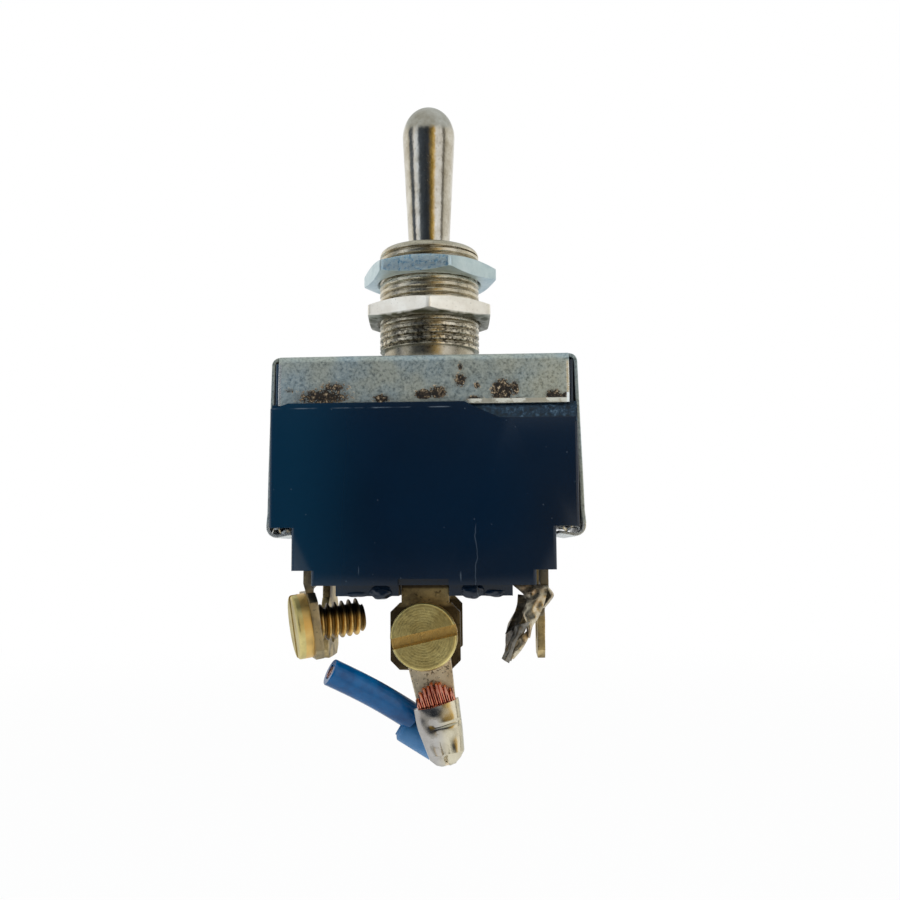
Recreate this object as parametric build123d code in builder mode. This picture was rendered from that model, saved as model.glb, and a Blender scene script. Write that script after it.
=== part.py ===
"""Panel toggle switch: double pole, centre off, screw terminals and a threaded mounting bushing.

Millimetres, +Z up along the lever. The origin lies on the bushing's axis at the cover's top face.
The front, the side with the cable lug, is -Y, and the lever swings from left to right about Y.
"""
import os
from math import cos, radians, sin, sqrt

from build123d import *

os.makedirs("parts", exist_ok=True)

# Clearances shared by the fits
running_gap = 0.04
press_gap = 0.01
sheet_gap = 0.1
strap_channel_gap = 0.25
skirt_gap = 0.07
cut_margin = 0.5

# Moulded case
case_length = 33.3
case_depth = 23.0
shoulder_z = -18.85
step_z = -23.45
case_bottom_z = -25.05
waist_inset = 2.47
foot_inset = 2.16
end_wall = 2.65
side_wall = 2.5
floor_thickness = 3.55
shelf_thickness = 2.05
partition_wall = 1.2
partition_drop = 12.7
corner_radius = 0.35
barrier_end_inset = 2.52
barrier_drop = 1.15
barrier_inset = 1.0
notch_height = 0.68
lip_height = 0.24

# Broken lip at the front right, as (along, drop) from where the break starts, and the left nick
lip_break_start = 4.33
lip_break_edge = ((1.7, 0.8), (4.0, 1.8), (6.2, 1.93))
fracture_inner_drop = 0.3
fracture_outer_drop = 2.1
nick_length = 2.3
nick_step = 1.0
nick_drop = 0.35
nick_end_drop = 0.6

# Cover of folded sheet
cover_sheet = 0.4
strap_stand_off = 0.18
lip_width = 0.6
skirt_drop = 5.55
skirt_end_inset = 0.96
strap_edge_inset = 1.0
cover_bend_radius = 0.7
hook_bend_radius = 1.0
strap_flare_left = 0.35
strap_flare_right = 0.5
flare_start = 1.6
flare_end = 0.4
flare_extra_left = 0.1
flare_extra_right = 0.15
hook_drop = 1.1
hook_reach = 2.1
hook_tip_rise = 0.5

# Insulating sheet under the cover
liner_sheet = 0.4
liner_margin = 1.0
liner_corner = 0.85

# Bushing and its nuts
thread_radius = 5.95
bushing_height = 14.55
rim_radius = 0.75
rim_land = 0.75
mouth_depth = 6.05
mouth_taper = 1.0
relief_depth = 0.5
relief_height = 2.2
collar_height = 0.08
flange_width = 0.95
flange_thickness = 0.8
nut_wall = 1.195
nut_thickness = 1.95
nut_chamfer = 0.42
nut_countersink = 0.3
lower_nut_z = 5.58
upper_nut_z = 10.4
lower_nut_turn = -86.5
upper_nut_turn = -69.2

# Lever and its pivot
pivot_z = 6.0
pin_radius = 1.0
pin_recess = 0.65
ball_gap = 0.15
shank_radius = 1.8
shank_end_z = -5.2
neck_radius = 2.15
neck_z = 9.4
grip_radius = 3.17
grip_z = 28.6
lever_tip_z = 32.72
tip_bulge = 1.05
tip_rise = 2.2
tip_flat = 0.62
lever_throw = 12.0
rocker_share = 0.5

# Actuator and its plungers
actuator_length = 6.8
actuator_top_z = -2.4
actuator_height = 4.0
boss_overhang = 0.05
boss_radius = 2.3
boss_bottom_z = -9.4
spring_bore_radius = 1.5
spring_bore_top_z = -3.4
plunger_radius = 1.42
plunger_top_z = -6.6
plunger_guide = 2.3
plunger_taper = 0.2
plunger_tip_radius = 1.2
plunger_tip_z = -11.97
spring_coil_radius = 1.1
spring_wire_radius = 0.2
spring_turns = 4

# Rockers and contacts
rocker_sheet = 0.6
rocker_width_share = 0.1652
rocker_side_gap = 0.55
rocker_arm_rise = 1.0
trunnion_width = 1.1
trunnion_height = 0.54
contact_share = 0.618
rocker_contact_radius = 1.2
rocker_contact_height = 0.7
fixed_contact_radius = 1.4
fixed_contact_height = 0.5
contact_gap = 0.05

# Terminals
terminal_sheet = 0.9
neck_width = 5.2
plate_width = 7.6
plate_height = 7.2
plate_top_z = -27.0
plate_corner = 1.0
ear_sheet = 0.7
ear_above_pivot = 0.9
ear_notch_width = 1.9
strip_gap = 0.3
end_strip_inset = 1.05
end_strip_bend = 1.2
end_foot_margin = 0.2

# Terminal screws
screw_radius = 2.05
screw_length = 6.35
screw_head_radius = 3.58
screw_head_height = 1.6
screw_slot_width = 1.15
screw_slot_depth = 0.9
screw_edge = 0.3
rear_plate_shift = 0.42
front_slot_turn = 12.6
screw_z = -30.5

# Bent front terminals: how far out, forward and down of their strips' middles the damaged plates stand
left_pad_out = 0.42
left_pad_forward = 0.03
left_pad_z = -29.57
left_pad_swing = 20.0
left_pad_tilt = 8.4
left_pad_bite = 0.5
left_neck_end_z = -24.9
right_neck_end_z = -26.4
right_plate_in = 1.05
right_plate_forward = 3.2
right_plate_z = -27.7
right_plate_swing = 9.0
right_plate_slope = 26.5
right_plate_edge = ((0, 0), (3.1, 0.3), (5.27, -0.5), (6.2, -2.6), (4.96, -3.78), (2.17, -4.88), (0, -6.1))
right_web_inner_edge = ((-3.3, 0), (-2.55, 0.65), (-1.95, 1.5), (-1.55, 2.48), (-1.45, 3.3))
right_web_outer_edge = ((-0.2, 3.3), (0.1, 2.18), (0.9, 1.15), (0.5, 0.4), (0.4, 0))

# Crimped cable lug
lug_tilt = 10.0
lug_sheet = 0.9
lug_eye_radius = 3.35
tongue_width = 4.75
barrel_start = 7.4
barrel_mid_y = 1.655
barrel_sections = ((0.0, 0.0, 2.5, 1.45), (2.0, 0.0, 2.42, 1.45), (4.7, 0.17, 2.05, 1.33), (6.1, 0.15, 1.25, 0.9))
strand_fan = ((-1.71, 0), (-2.09, 1.2), (-0.71, 2.3), (1.43, 2.2), (2.0, 1.3), (1.81, 0))
strand_height = 1.0

# Cut-off blue wire in the lug: its ends and the sleeve's, from the middle of the lug's eye
wire_radius = 1.45
core_radius = 0.8
wire_end_offset = (-9.98, -2.3, -3.6)
wire_root_offset = (-1.5, 1.15, -8.82)
sleeve_radius = 1.95
sleeve_start_offset = (-2.7, 2.1, -9.5)
sleeve_end_offset = (1.2, 2.1, -11.85)

# Sizes that follow from the ones above
waist_length = case_length - 2 * waist_inset
foot_length = waist_length - 2 * foot_inset
cover_length = case_length + 2 * strap_stand_off
cover_depth = case_depth - 2 * lip_width
skirt_length = cover_length - 2 * skirt_end_inset
strap_width = cover_depth - 2 * strap_edge_inset
barrier_inner_x = neck_width / 2 + sheet_gap
barrier_outer_x = foot_length / 2 - barrier_end_inset
notch_width = 2 * barrier_inner_x
case_top_z = -(cover_sheet + liner_sheet)
skirt_face_y = cover_depth / 2
collar_half_y = skirt_face_y - cover_sheet - sheet_gap
collar_half_x = cover_length / 2 - cover_sheet - sheet_gap
strap_channel_width = strap_width + 2 * strap_channel_gap
groove_floor_z = -skirt_drop - skirt_gap
lip_top_z = groove_floor_z + lip_height
cavity_half_x = case_length / 2 - end_wall
cavity_half_y = case_depth / 2 - side_wall
well_half_x = waist_length / 2 - end_wall
floor_z = case_bottom_z + floor_thickness
shelf_z = shoulder_z + shelf_thickness
partition_top_z = case_top_z - partition_drop
neck_outer_y = cavity_half_y - strip_gap
rocker_width = rocker_width_share * case_depth
ear_inner_y = neck_outer_y - terminal_sheet - rocker_width - 2 * rocker_side_gap - ear_sheet
pole_y = (neck_outer_y - terminal_sheet + ear_inner_y + ear_sheet) / 2
actuator_width = 2 * (pole_y + boss_radius - boss_overhang)
end_strip_x = cavity_half_x - end_strip_inset
contact_x = contact_share * end_strip_x
rocker_half_length = contact_x + rocker_contact_radius
end_foot_x = contact_x - fixed_contact_radius - end_foot_margin
end_strip_y = cavity_half_y - strip_gap - neck_width / 2 - sheet_gap
plate_bottom_z = plate_top_z - plate_height
trough_z = plunger_tip_z - contact_gap
rocker_pivot_z = trough_z - rocker_sheet
trough_radius = (pivot_z - plunger_tip_z - plunger_tip_radius) / 2 + plunger_tip_radius + contact_gap
trough_centre_z = trough_z + trough_radius
arm_top_z = trough_z + rocker_arm_rise
arm_bottom_z = arm_top_z - rocker_sheet
rocker_tilt = radians(lever_throw * rocker_share)
button_z = arm_bottom_z - rocker_contact_height
fixed_contact_z = (
    rocker_pivot_z
    - (contact_x + rocker_contact_radius) * sin(rocker_tilt)
    + (button_z - rocker_pivot_z) * cos(rocker_tilt)
    - contact_gap
)
end_foot_z = fixed_contact_z - fixed_contact_height
ear_top_z = rocker_pivot_z + ear_above_pivot
mouth_radius = thread_radius - rim_radius - rim_land
bushing_bore_radius = mouth_radius - mouth_taper
relief_radius = thread_radius - relief_depth
flange_radius = thread_radius + flange_width
ball_radius = bushing_bore_radius - ball_gap
pin_length = 2 * (thread_radius - pin_recess)
nut_across_flats = 2 * (thread_radius + nut_wall)
nut_corner_radius = nut_across_flats / 2 / cos(radians(30))
nut_bore_radius = thread_radius + running_gap
flange_bottom_z = -cover_sheet - flange_thickness
cover_hole_radius = thread_radius + 3 * press_gap
tapped_radius = screw_radius + running_gap
rear_screw_seat = neck_outer_y
front_screw_seat = neck_outer_y + lug_sheet

# Lever: bat grip, narrow neck, pivot ball and the shank that carries the actuator
ball_foot = sqrt(ball_radius**2 - shank_radius**2)
ball_crown = sqrt(ball_radius**2 - neck_radius**2)
with BuildPart() as lever:
    with BuildSketch(Plane.XZ):
        with BuildLine():
            Line((0, shank_end_z), (shank_radius, shank_end_z))
            Line((shank_radius, shank_end_z), (shank_radius, pivot_z - ball_foot))
            ThreePointArc(
                (shank_radius, pivot_z - ball_foot),
                (ball_radius, pivot_z),
                (neck_radius, pivot_z + ball_crown),
            )
            Line((neck_radius, pivot_z + ball_crown), (neck_radius, neck_z))
            Line((neck_radius, neck_z), (grip_radius, grip_z))
            Bezier(
                (grip_radius, grip_z),
                (grip_radius * tip_bulge, grip_z + tip_rise),
                (grip_radius * tip_flat, lever_tip_z),
                (0, lever_tip_z),
            )
            Line((0, lever_tip_z), (0, shank_end_z))
        make_face()
    revolve(axis=Axis.Z)
    with BuildSketch(Plane.XZ.offset(-ball_radius)):
        with Locations((0, pivot_z)):
            Circle(pin_radius + running_gap)
    extrude(amount=2 * ball_radius, mode=Mode.SUBTRACT)
lever.part.label = "lever"
export_step(lever.part, "parts/lever.step")

# Pivot pin across the bushing
with BuildPart() as pivot_pin:
    with BuildSketch(Plane.XZ.offset(-pin_length / 2)):
        with Locations((0, pivot_z)):
            Circle(pin_radius)
    extrude(amount=pin_length)
pivot_pin.part.label = "pivot_pin"
export_step(pivot_pin.part, "parts/pivot_pin.step")

# Bushing: turned in one piece, put in from below so that its flange stops under the cover
with BuildPart() as bushing:
    with BuildSketch(Plane.XZ):
        with BuildLine():
            Polyline(
                (thread_radius - rim_radius, bushing_height),
                (mouth_radius, bushing_height),
                (bushing_bore_radius, bushing_height - mouth_depth),
                (bushing_bore_radius, flange_bottom_z),
                (flange_radius, flange_bottom_z),
                (flange_radius, -cover_sheet),
                (thread_radius, -cover_sheet),
                (thread_radius, collar_height - cover_sheet),
                (relief_radius, collar_height - cover_sheet),
                (relief_radius, relief_height),
                (thread_radius, relief_height),
                (thread_radius, bushing_height - rim_radius),
            )
            RadiusArc(
                (thread_radius - rim_radius, bushing_height),
                (thread_radius, bushing_height - rim_radius),
                rim_radius,
            )
        make_face()
    revolve(axis=Axis.Z)
    with BuildSketch(Plane.XZ.offset(-thread_radius)):
        with Locations((0, pivot_z)):
            Circle(pin_radius + press_gap)
    extrude(amount=2 * thread_radius, mode=Mode.SUBTRACT)
bushing.part.label = "bushing"
export_step(bushing.part, "parts/bushing.step")

# Two thin hexagon nuts that clamp the panel between them
nut_places = {
    "lower_nut": (lower_nut_z, lower_nut_turn),
    "upper_nut": (upper_nut_z, upper_nut_turn),
}
for nut_name, (nut_z, nut_turn) in nut_places.items():
    with BuildPart() as nut:
        with BuildSketch(Plane.XY.offset(nut_z)):
            RegularPolygon(nut_corner_radius, 6, rotation=nut_turn)
            Circle(nut_bore_radius, mode=Mode.SUBTRACT)
        extrude(amount=nut_thickness)
        with BuildSketch(Plane.XZ):
            with BuildLine():
                Polyline(
                    (0, nut_z),
                    (nut_across_flats / 2, nut_z),
                    (nut_corner_radius + sheet_gap, nut_z + nut_chamfer),
                    (nut_corner_radius + sheet_gap, nut_z + nut_thickness - nut_chamfer),
                    (nut_across_flats / 2, nut_z + nut_thickness),
                    (0, nut_z + nut_thickness),
                    close=True,
                )
            make_face()
        revolve(axis=Axis.Z, mode=Mode.INTERSECT)
        chamfer(nut.edges().filter_by(GeomType.CIRCLE).sort_by(SortBy.RADIUS)[:2], nut_countersink)
    nut.part.label = nut_name
    export_step(nut.part, f"parts/{nut_name}.step")

# Cover: one folded blank, skirts front and back, and end straps hooked under the case's shoulders
strap_x = (cover_length - cover_sheet) / 2
skirt_y = (cover_depth - cover_sheet) / 2
top_line_z = -cover_sheet / 2
hook_z = shoulder_z - hook_drop
hook_tip_x = strap_x - hook_reach
flare_left_x = strap_x + strap_flare_left
flare_right_x = strap_x + strap_flare_right
strap_bends = (hook_bend_radius, *3 * (cover_bend_radius,), *3 * (cover_bend_radius,), hook_bend_radius)
with BuildPart() as cover:
    with BuildSketch(Plane.XZ):
        with BuildLine():
            FilletPolyline(
                (-hook_tip_x, hook_z + hook_tip_rise),
                (-flare_left_x - flare_extra_left, hook_z),
                (-flare_left_x - flare_extra_left, shoulder_z + flare_end),
                (-flare_left_x, shoulder_z + flare_start),
                (-strap_x, top_line_z),
                (strap_x, top_line_z),
                (flare_right_x, shoulder_z + flare_start),
                (flare_right_x + flare_extra_right, shoulder_z + flare_end),
                (flare_right_x + flare_extra_right, hook_z),
                (hook_tip_x, hook_z + hook_tip_rise),
                radius=strap_bends,
            )
        trace(line_width=cover_sheet)
    extrude(amount=strap_width / 2, both=True)
    with BuildSketch(Plane.YZ):
        with BuildLine():
            FilletPolyline(
                (-skirt_y, -skirt_drop),
                (-skirt_y, top_line_z),
                (skirt_y, top_line_z),
                (skirt_y, -skirt_drop),
                radius=cover_bend_radius,
            )
        trace(line_width=cover_sheet)
    extrude(amount=skirt_length / 2, both=True)
    Hole(cover_hole_radius)
cover.part.label = "cover"
export_step(cover.part, "parts/cover.step")

# Insulating liner between the cover and the case
with BuildPart() as liner:
    with BuildSketch(Plane.XY.offset(case_top_z)):
        Rectangle(cover_length - 2 * liner_margin, cover_depth - 2 * liner_margin)
        Circle(flange_radius + 3 * sheet_gap, mode=Mode.SUBTRACT)
    extrude(amount=liner_sheet)
    fillet(liner.edges().filter_by(Axis.Z), liner_corner)
liner.part.label = "liner"
export_step(liner.part, "parts/liner.step")

# Where the lip in front of the skirt has broken away, as one cutting solid
break_right_x = case_length / 2 + sheet_gap
break_line = [(lip_break_start + along, lip_top_z - drop) for along, drop in lip_break_edge]
with BuildPart() as lip_break:
    with BuildSketch(Plane.XZ.offset(case_depth / 2 + sheet_gap)):
        with BuildLine():
            Polyline(
                (lip_break_start, lip_top_z + sheet_gap),
                *break_line,
                (break_right_x, break_line[-1][1]),
                (break_right_x, lip_top_z + sheet_gap),
                close=True,
            )
        make_face()
    extrude(amount=-(case_depth / 2 - collar_half_y + sheet_gap))
    with BuildSketch(Plane.YZ):
        with BuildLine():
            Polyline(
                (-collar_half_y, lip_top_z + sheet_gap),
                (-collar_half_y, groove_floor_z),
                (-skirt_face_y, groove_floor_z - fracture_inner_drop),
                (-case_depth / 2 - sheet_gap, lip_top_z - fracture_outer_drop),
                (-case_depth / 2 - sheet_gap, lip_top_z + sheet_gap),
                close=True,
            )
        make_face()
    extrude(amount=case_length, both=True, mode=Mode.INTERSECT)

# Case: stepped moulding, open at the top, with a groove and lip around the cover's skirts
with BuildPart() as housing:
    with BuildSketch(Plane.XZ):
        with BuildLine():
            Polyline(
                (-case_length / 2, lip_top_z),
                (case_length / 2, lip_top_z),
                (case_length / 2, shoulder_z),
                (waist_length / 2, shoulder_z),
                (waist_length / 2, step_z),
                (foot_length / 2, step_z),
                (foot_length / 2, case_bottom_z),
                (-foot_length / 2, case_bottom_z),
                (-foot_length / 2, step_z),
                (-waist_length / 2, step_z),
                (-waist_length / 2, shoulder_z),
                (-case_length / 2, shoulder_z),
                close=True,
            )
        make_face()
    extrude(amount=case_depth / 2, both=True)
    fillet(housing.edges().filter_by(Axis.Z), corner_radius)
    # Collar inside the cover
    with BuildSketch(Plane.XY.offset(case_top_z)):
        RectangleRounded(2 * collar_half_x, 2 * collar_half_y, corner_radius)
    extrude(until=Until.NEXT, dir=(0, 0, -1))
    # Barriers between the terminals
    barrier_x = (barrier_inner_x + barrier_outer_x) / 2
    with BuildSketch(Plane.XY.offset(case_bottom_z)):
        with Locations((-barrier_x, 0), (barrier_x, 0)):
            Rectangle(barrier_outer_x - barrier_inner_x, case_depth - 2 * barrier_inset)
    extrude(amount=-barrier_drop)
    # Groove for the skirts
    with BuildSketch(Plane.XY.offset(groove_floor_z)):
        Rectangle(case_length + 2 * cut_margin, 2 * (skirt_face_y + skirt_gap))
        Rectangle(case_length + 2 * cut_margin, 2 * collar_half_y, mode=Mode.SUBTRACT)
    extrude(amount=lip_height + sheet_gap, mode=Mode.SUBTRACT)
    # Channels for the end straps
    with BuildSketch(Plane.XY):
        Rectangle(case_length + 2 * cut_margin, strap_channel_width)
        Rectangle(2 * collar_half_x, strap_channel_width, mode=Mode.SUBTRACT)
    extrude(amount=shoulder_z, mode=Mode.SUBTRACT)
    # Contact chamber and the deeper well between the end terminals
    with BuildSketch(Plane.XY.offset(case_top_z)):
        RectangleRounded(2 * cavity_half_x, 2 * cavity_half_y, corner_radius)
    extrude(amount=shelf_z - case_top_z, mode=Mode.SUBTRACT)
    with BuildSketch(Plane.XY.offset(shelf_z)):
        Rectangle(2 * well_half_x, 2 * cavity_half_y)
    extrude(amount=floor_z - shelf_z, mode=Mode.SUBTRACT)
    # Partition between the two poles
    with BuildSketch(Plane.XY.offset(floor_z)):
        Rectangle(2 * well_half_x, partition_wall)
    extrude(amount=partition_top_z - floor_z)
    # Slots for the end terminals through the shelf
    with BuildSketch(Plane.XY.offset(shelf_z)):
        with GridLocations(2 * end_strip_x, 2 * end_strip_y, 2, 2):
            Rectangle(terminal_sheet + 2 * press_gap, neck_width + 2 * press_gap)
    extrude(amount=case_bottom_z - shelf_z, mode=Mode.SUBTRACT)
    # Slots for the centre terminals through the floor
    with BuildSketch(Plane.XY.offset(floor_z)):
        with GridLocations(1, 2 * neck_outer_y - terminal_sheet, 1, 2):
            Rectangle(neck_width + 2 * press_gap, terminal_sheet + 2 * press_gap)
    extrude(amount=-floor_thickness, mode=Mode.SUBTRACT)
    # Shallow notch over each centre terminal
    with BuildSketch(Plane.XZ):
        with Locations((0, case_bottom_z + notch_height / 2)):
            Rectangle(notch_width, notch_height)
    extrude(amount=case_depth / 2, both=True, mode=Mode.SUBTRACT)
    with BuildSketch(Plane.XY.offset(case_bottom_z + notch_height)):
        Rectangle(notch_width, case_depth - 2 * barrier_inset)
        with GridLocations(1, 2 * neck_outer_y - terminal_sheet, 1, 2):
            Rectangle(neck_width + 2 * press_gap, terminal_sheet + 2 * press_gap, mode=Mode.SUBTRACT)
    extrude(amount=-notch_height)
    # Broken lip at the right and a nick at the left corner
    add(lip_break.part, mode=Mode.SUBTRACT)
    with BuildSketch(Plane.XZ.offset(collar_half_y)):
        with BuildLine():
            Polyline(
                (-case_length / 2 - sheet_gap, lip_top_z + sheet_gap),
                (-case_length / 2 + nick_length, lip_top_z + sheet_gap),
                (-case_length / 2 + nick_step, lip_top_z - nick_drop),
                (-case_length / 2 - sheet_gap, lip_top_z - nick_end_drop),
                close=True,
            )
        make_face()
    extrude(amount=case_depth / 2 - collar_half_y + sheet_gap, mode=Mode.SUBTRACT)
housing.part.label = "housing"
export_step(housing.part, "parts/housing.step")

# Actuator: moulded crossbar on the lever's shank with a guide for each plunger
with BuildPart() as actuator:
    with BuildSketch(Plane.XY.offset(actuator_top_z)):
        RectangleRounded(actuator_length, actuator_width, corner_radius)
    extrude(amount=-actuator_height)
    with BuildSketch(Plane.XY.offset(actuator_top_z - actuator_height)):
        with GridLocations(1, 2 * pole_y, 1, 2):
            Circle(boss_radius)
    extrude(amount=boss_bottom_z - actuator_top_z + actuator_height)
    with BuildSketch(Plane.XY.offset(spring_bore_top_z)):
        with GridLocations(1, 2 * pole_y, 1, 2):
            Circle(spring_bore_radius)
    extrude(amount=boss_bottom_z - spring_bore_top_z, mode=Mode.SUBTRACT)
    with BuildSketch(Plane.XY.offset(actuator_top_z)):
        Circle(shank_radius + press_gap)
    extrude(amount=shank_end_z - press_gap - actuator_top_z, mode=Mode.SUBTRACT)
actuator.part.label = "actuator"
export_step(actuator.part, "parts/actuator.step")

# Plungers, springs, rockers and rocker contacts, one set for each pole
spring_bottom_z = plunger_top_z + spring_wire_radius + press_gap
spring_height = spring_bore_top_z - spring_wire_radius - press_gap - spring_bottom_z
for pole, side_y in (("front", -1), ("rear", 1)):
    pole_plane = Plane.XZ.offset(-side_y * pole_y)
    tip_shoulder_z = plunger_tip_z + plunger_tip_radius
    with BuildPart() as plunger:
        with BuildSketch(pole_plane):
            with BuildLine():
                Polyline(
                    (0, plunger_top_z),
                    (plunger_radius, plunger_top_z),
                    (plunger_radius, plunger_top_z - plunger_guide),
                    (plunger_tip_radius, plunger_top_z - plunger_guide - plunger_taper),
                    (plunger_tip_radius, tip_shoulder_z),
                )
                RadiusArc((plunger_tip_radius, tip_shoulder_z), (0, plunger_tip_z), plunger_tip_radius)
                Line((0, plunger_tip_z), (0, plunger_top_z))
            make_face()
        revolve(axis=Axis((0, side_y * pole_y, 0), (0, 0, 1)))
    plunger.part.label = f"plunger_{pole}"
    export_step(plunger.part, f"parts/plunger_{pole}.step")

    with BuildPart() as spring:
        with BuildLine():
            coil = Helix(
                pitch=spring_height / spring_turns,
                height=spring_height,
                radius=spring_coil_radius,
                center=(0, side_y * pole_y, spring_bottom_z),
            )
        with BuildSketch(Plane(origin=coil @ 0, z_dir=coil % 0)):
            RegularPolygon(spring_wire_radius, 6)
        sweep(is_frenet=True)
    spring.part.label = f"spring_{pole}"
    export_step(spring.part, f"parts/spring_{pole}.step")

    arm_top_x = sqrt(trough_radius**2 - (trough_centre_z - arm_top_z) ** 2)
    arm_bottom_x = sqrt((trough_radius + rocker_sheet) ** 2 - (trough_centre_z - arm_bottom_z) ** 2)
    with BuildPart() as rocker:
        with BuildSketch(pole_plane):
            with BuildLine():
                Line((-rocker_half_length, arm_top_z), (-arm_top_x, arm_top_z))
                ThreePointArc((-arm_top_x, arm_top_z), (0, trough_z), (arm_top_x, arm_top_z))
                Line((arm_top_x, arm_top_z), (rocker_half_length, arm_top_z))
                Line((rocker_half_length, arm_top_z), (rocker_half_length, arm_bottom_z))
                Line((rocker_half_length, arm_bottom_z), (arm_bottom_x, arm_bottom_z))
                ThreePointArc((arm_bottom_x, arm_bottom_z), (0, rocker_pivot_z), (-arm_bottom_x, arm_bottom_z))
                Line((-arm_bottom_x, arm_bottom_z), (-rocker_half_length, arm_bottom_z))
                Line((-rocker_half_length, arm_bottom_z), (-rocker_half_length, arm_top_z))
            make_face()
        extrude(amount=rocker_width / 2, both=True)
        # Trunnions that rest in the notched ears of the centre terminal
        trunnion_length = neck_outer_y - ear_inner_y - sheet_gap
        trunnion_y = side_y * (neck_outer_y + ear_inner_y) / 2
        with Locations((0, trunnion_y, trough_z - rocker_sheet / 2)):
            Box(trunnion_width, trunnion_length, trunnion_height)
    rocker.part.label = f"rocker_{pole}"
    export_step(rocker.part, f"parts/rocker_{pole}.step")

    with BuildPart() as rocker_contacts:
        with BuildSketch(Plane.XY.offset(arm_bottom_z)):
            with Locations((-contact_x, side_y * pole_y), (contact_x, side_y * pole_y)):
                Circle(rocker_contact_radius)
        extrude(amount=-rocker_contact_height)
    rocker_contacts.part.label = f"rocker_contacts_{pole}"
    export_step(rocker_contacts.part, f"parts/rocker_contacts_{pole}.step")

# Centre terminals: a strip through the floor whose two notched ears carry the rocker
for pole, side_y in (("front", -1), ("rear", 1)):
    notch_z = rocker_pivot_z - sheet_gap
    plate_x = 0 if pole == "front" else -rear_plate_shift
    with BuildPart() as terminal:
        with BuildSketch(Plane.XZ.offset(-side_y * neck_outer_y)):
            with Locations((0, (ear_top_z + plate_top_z) / 2)):
                Rectangle(neck_width, ear_top_z - plate_top_z)
            with Locations((plate_x, (plate_top_z + plate_bottom_z) / 2)):
                plate = Rectangle(plate_width, plate_height)
            chamfer(plate.vertices(), plate_corner)
            with Locations((0, (notch_z + ear_top_z) / 2)):
                Rectangle(ear_notch_width, ear_top_z - notch_z, mode=Mode.SUBTRACT)
            with Locations((plate_x, screw_z)):
                Circle(tapped_radius, mode=Mode.SUBTRACT)
        extrude(amount=side_y * terminal_sheet)
        with BuildSketch(Plane.XZ.offset(-side_y * ear_inner_y)):
            with Locations((0, (ear_top_z + floor_z) / 2)):
                Rectangle(neck_width, ear_top_z - floor_z)
            with Locations((0, (notch_z + ear_top_z) / 2)):
                Rectangle(ear_notch_width, ear_top_z - notch_z, mode=Mode.SUBTRACT)
        extrude(amount=-side_y * ear_sheet)
        foot_mid_y = side_y * (neck_outer_y + ear_inner_y) / 2
        with Locations((0, foot_mid_y, floor_z + terminal_sheet / 2)):
            Box(neck_width, neck_outer_y - ear_inner_y, terminal_sheet)
    terminal.part.label = f"terminal_centre_{pole}"
    export_step(terminal.part, f"parts/terminal_centre_{pole}.step")

# End terminals: straight at the back, the front left one bent inwards and the front right one torn
left_swing = radians(left_pad_swing)
left_tilt = radians(left_pad_tilt)
left_pad = Plane(
    origin=(-end_strip_x - left_pad_out, -end_strip_y - left_pad_forward, left_pad_z),
    x_dir=(-sin(left_swing), cos(left_swing), 0),
    z_dir=(cos(left_tilt) * cos(left_swing), cos(left_tilt) * sin(left_swing), sin(left_tilt)),
)
right_swing = radians(right_plate_swing)
right_slope = radians(right_plate_slope)
right_across = Vector(-sin(right_swing), cos(right_swing), 0)
right_upward = Vector(sin(right_slope), 0, cos(right_slope))
right_plate = Plane(
    origin=(end_strip_x - right_plate_in, -end_strip_y - right_plate_forward, right_plate_z),
    x_dir=right_across,
    z_dir=right_across.cross(right_upward),
)
web_top_z = case_bottom_z - sheet_gap
web_outer_y = end_strip_y + neck_width / 2
web_edge = right_web_inner_edge + right_web_outer_edge
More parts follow.
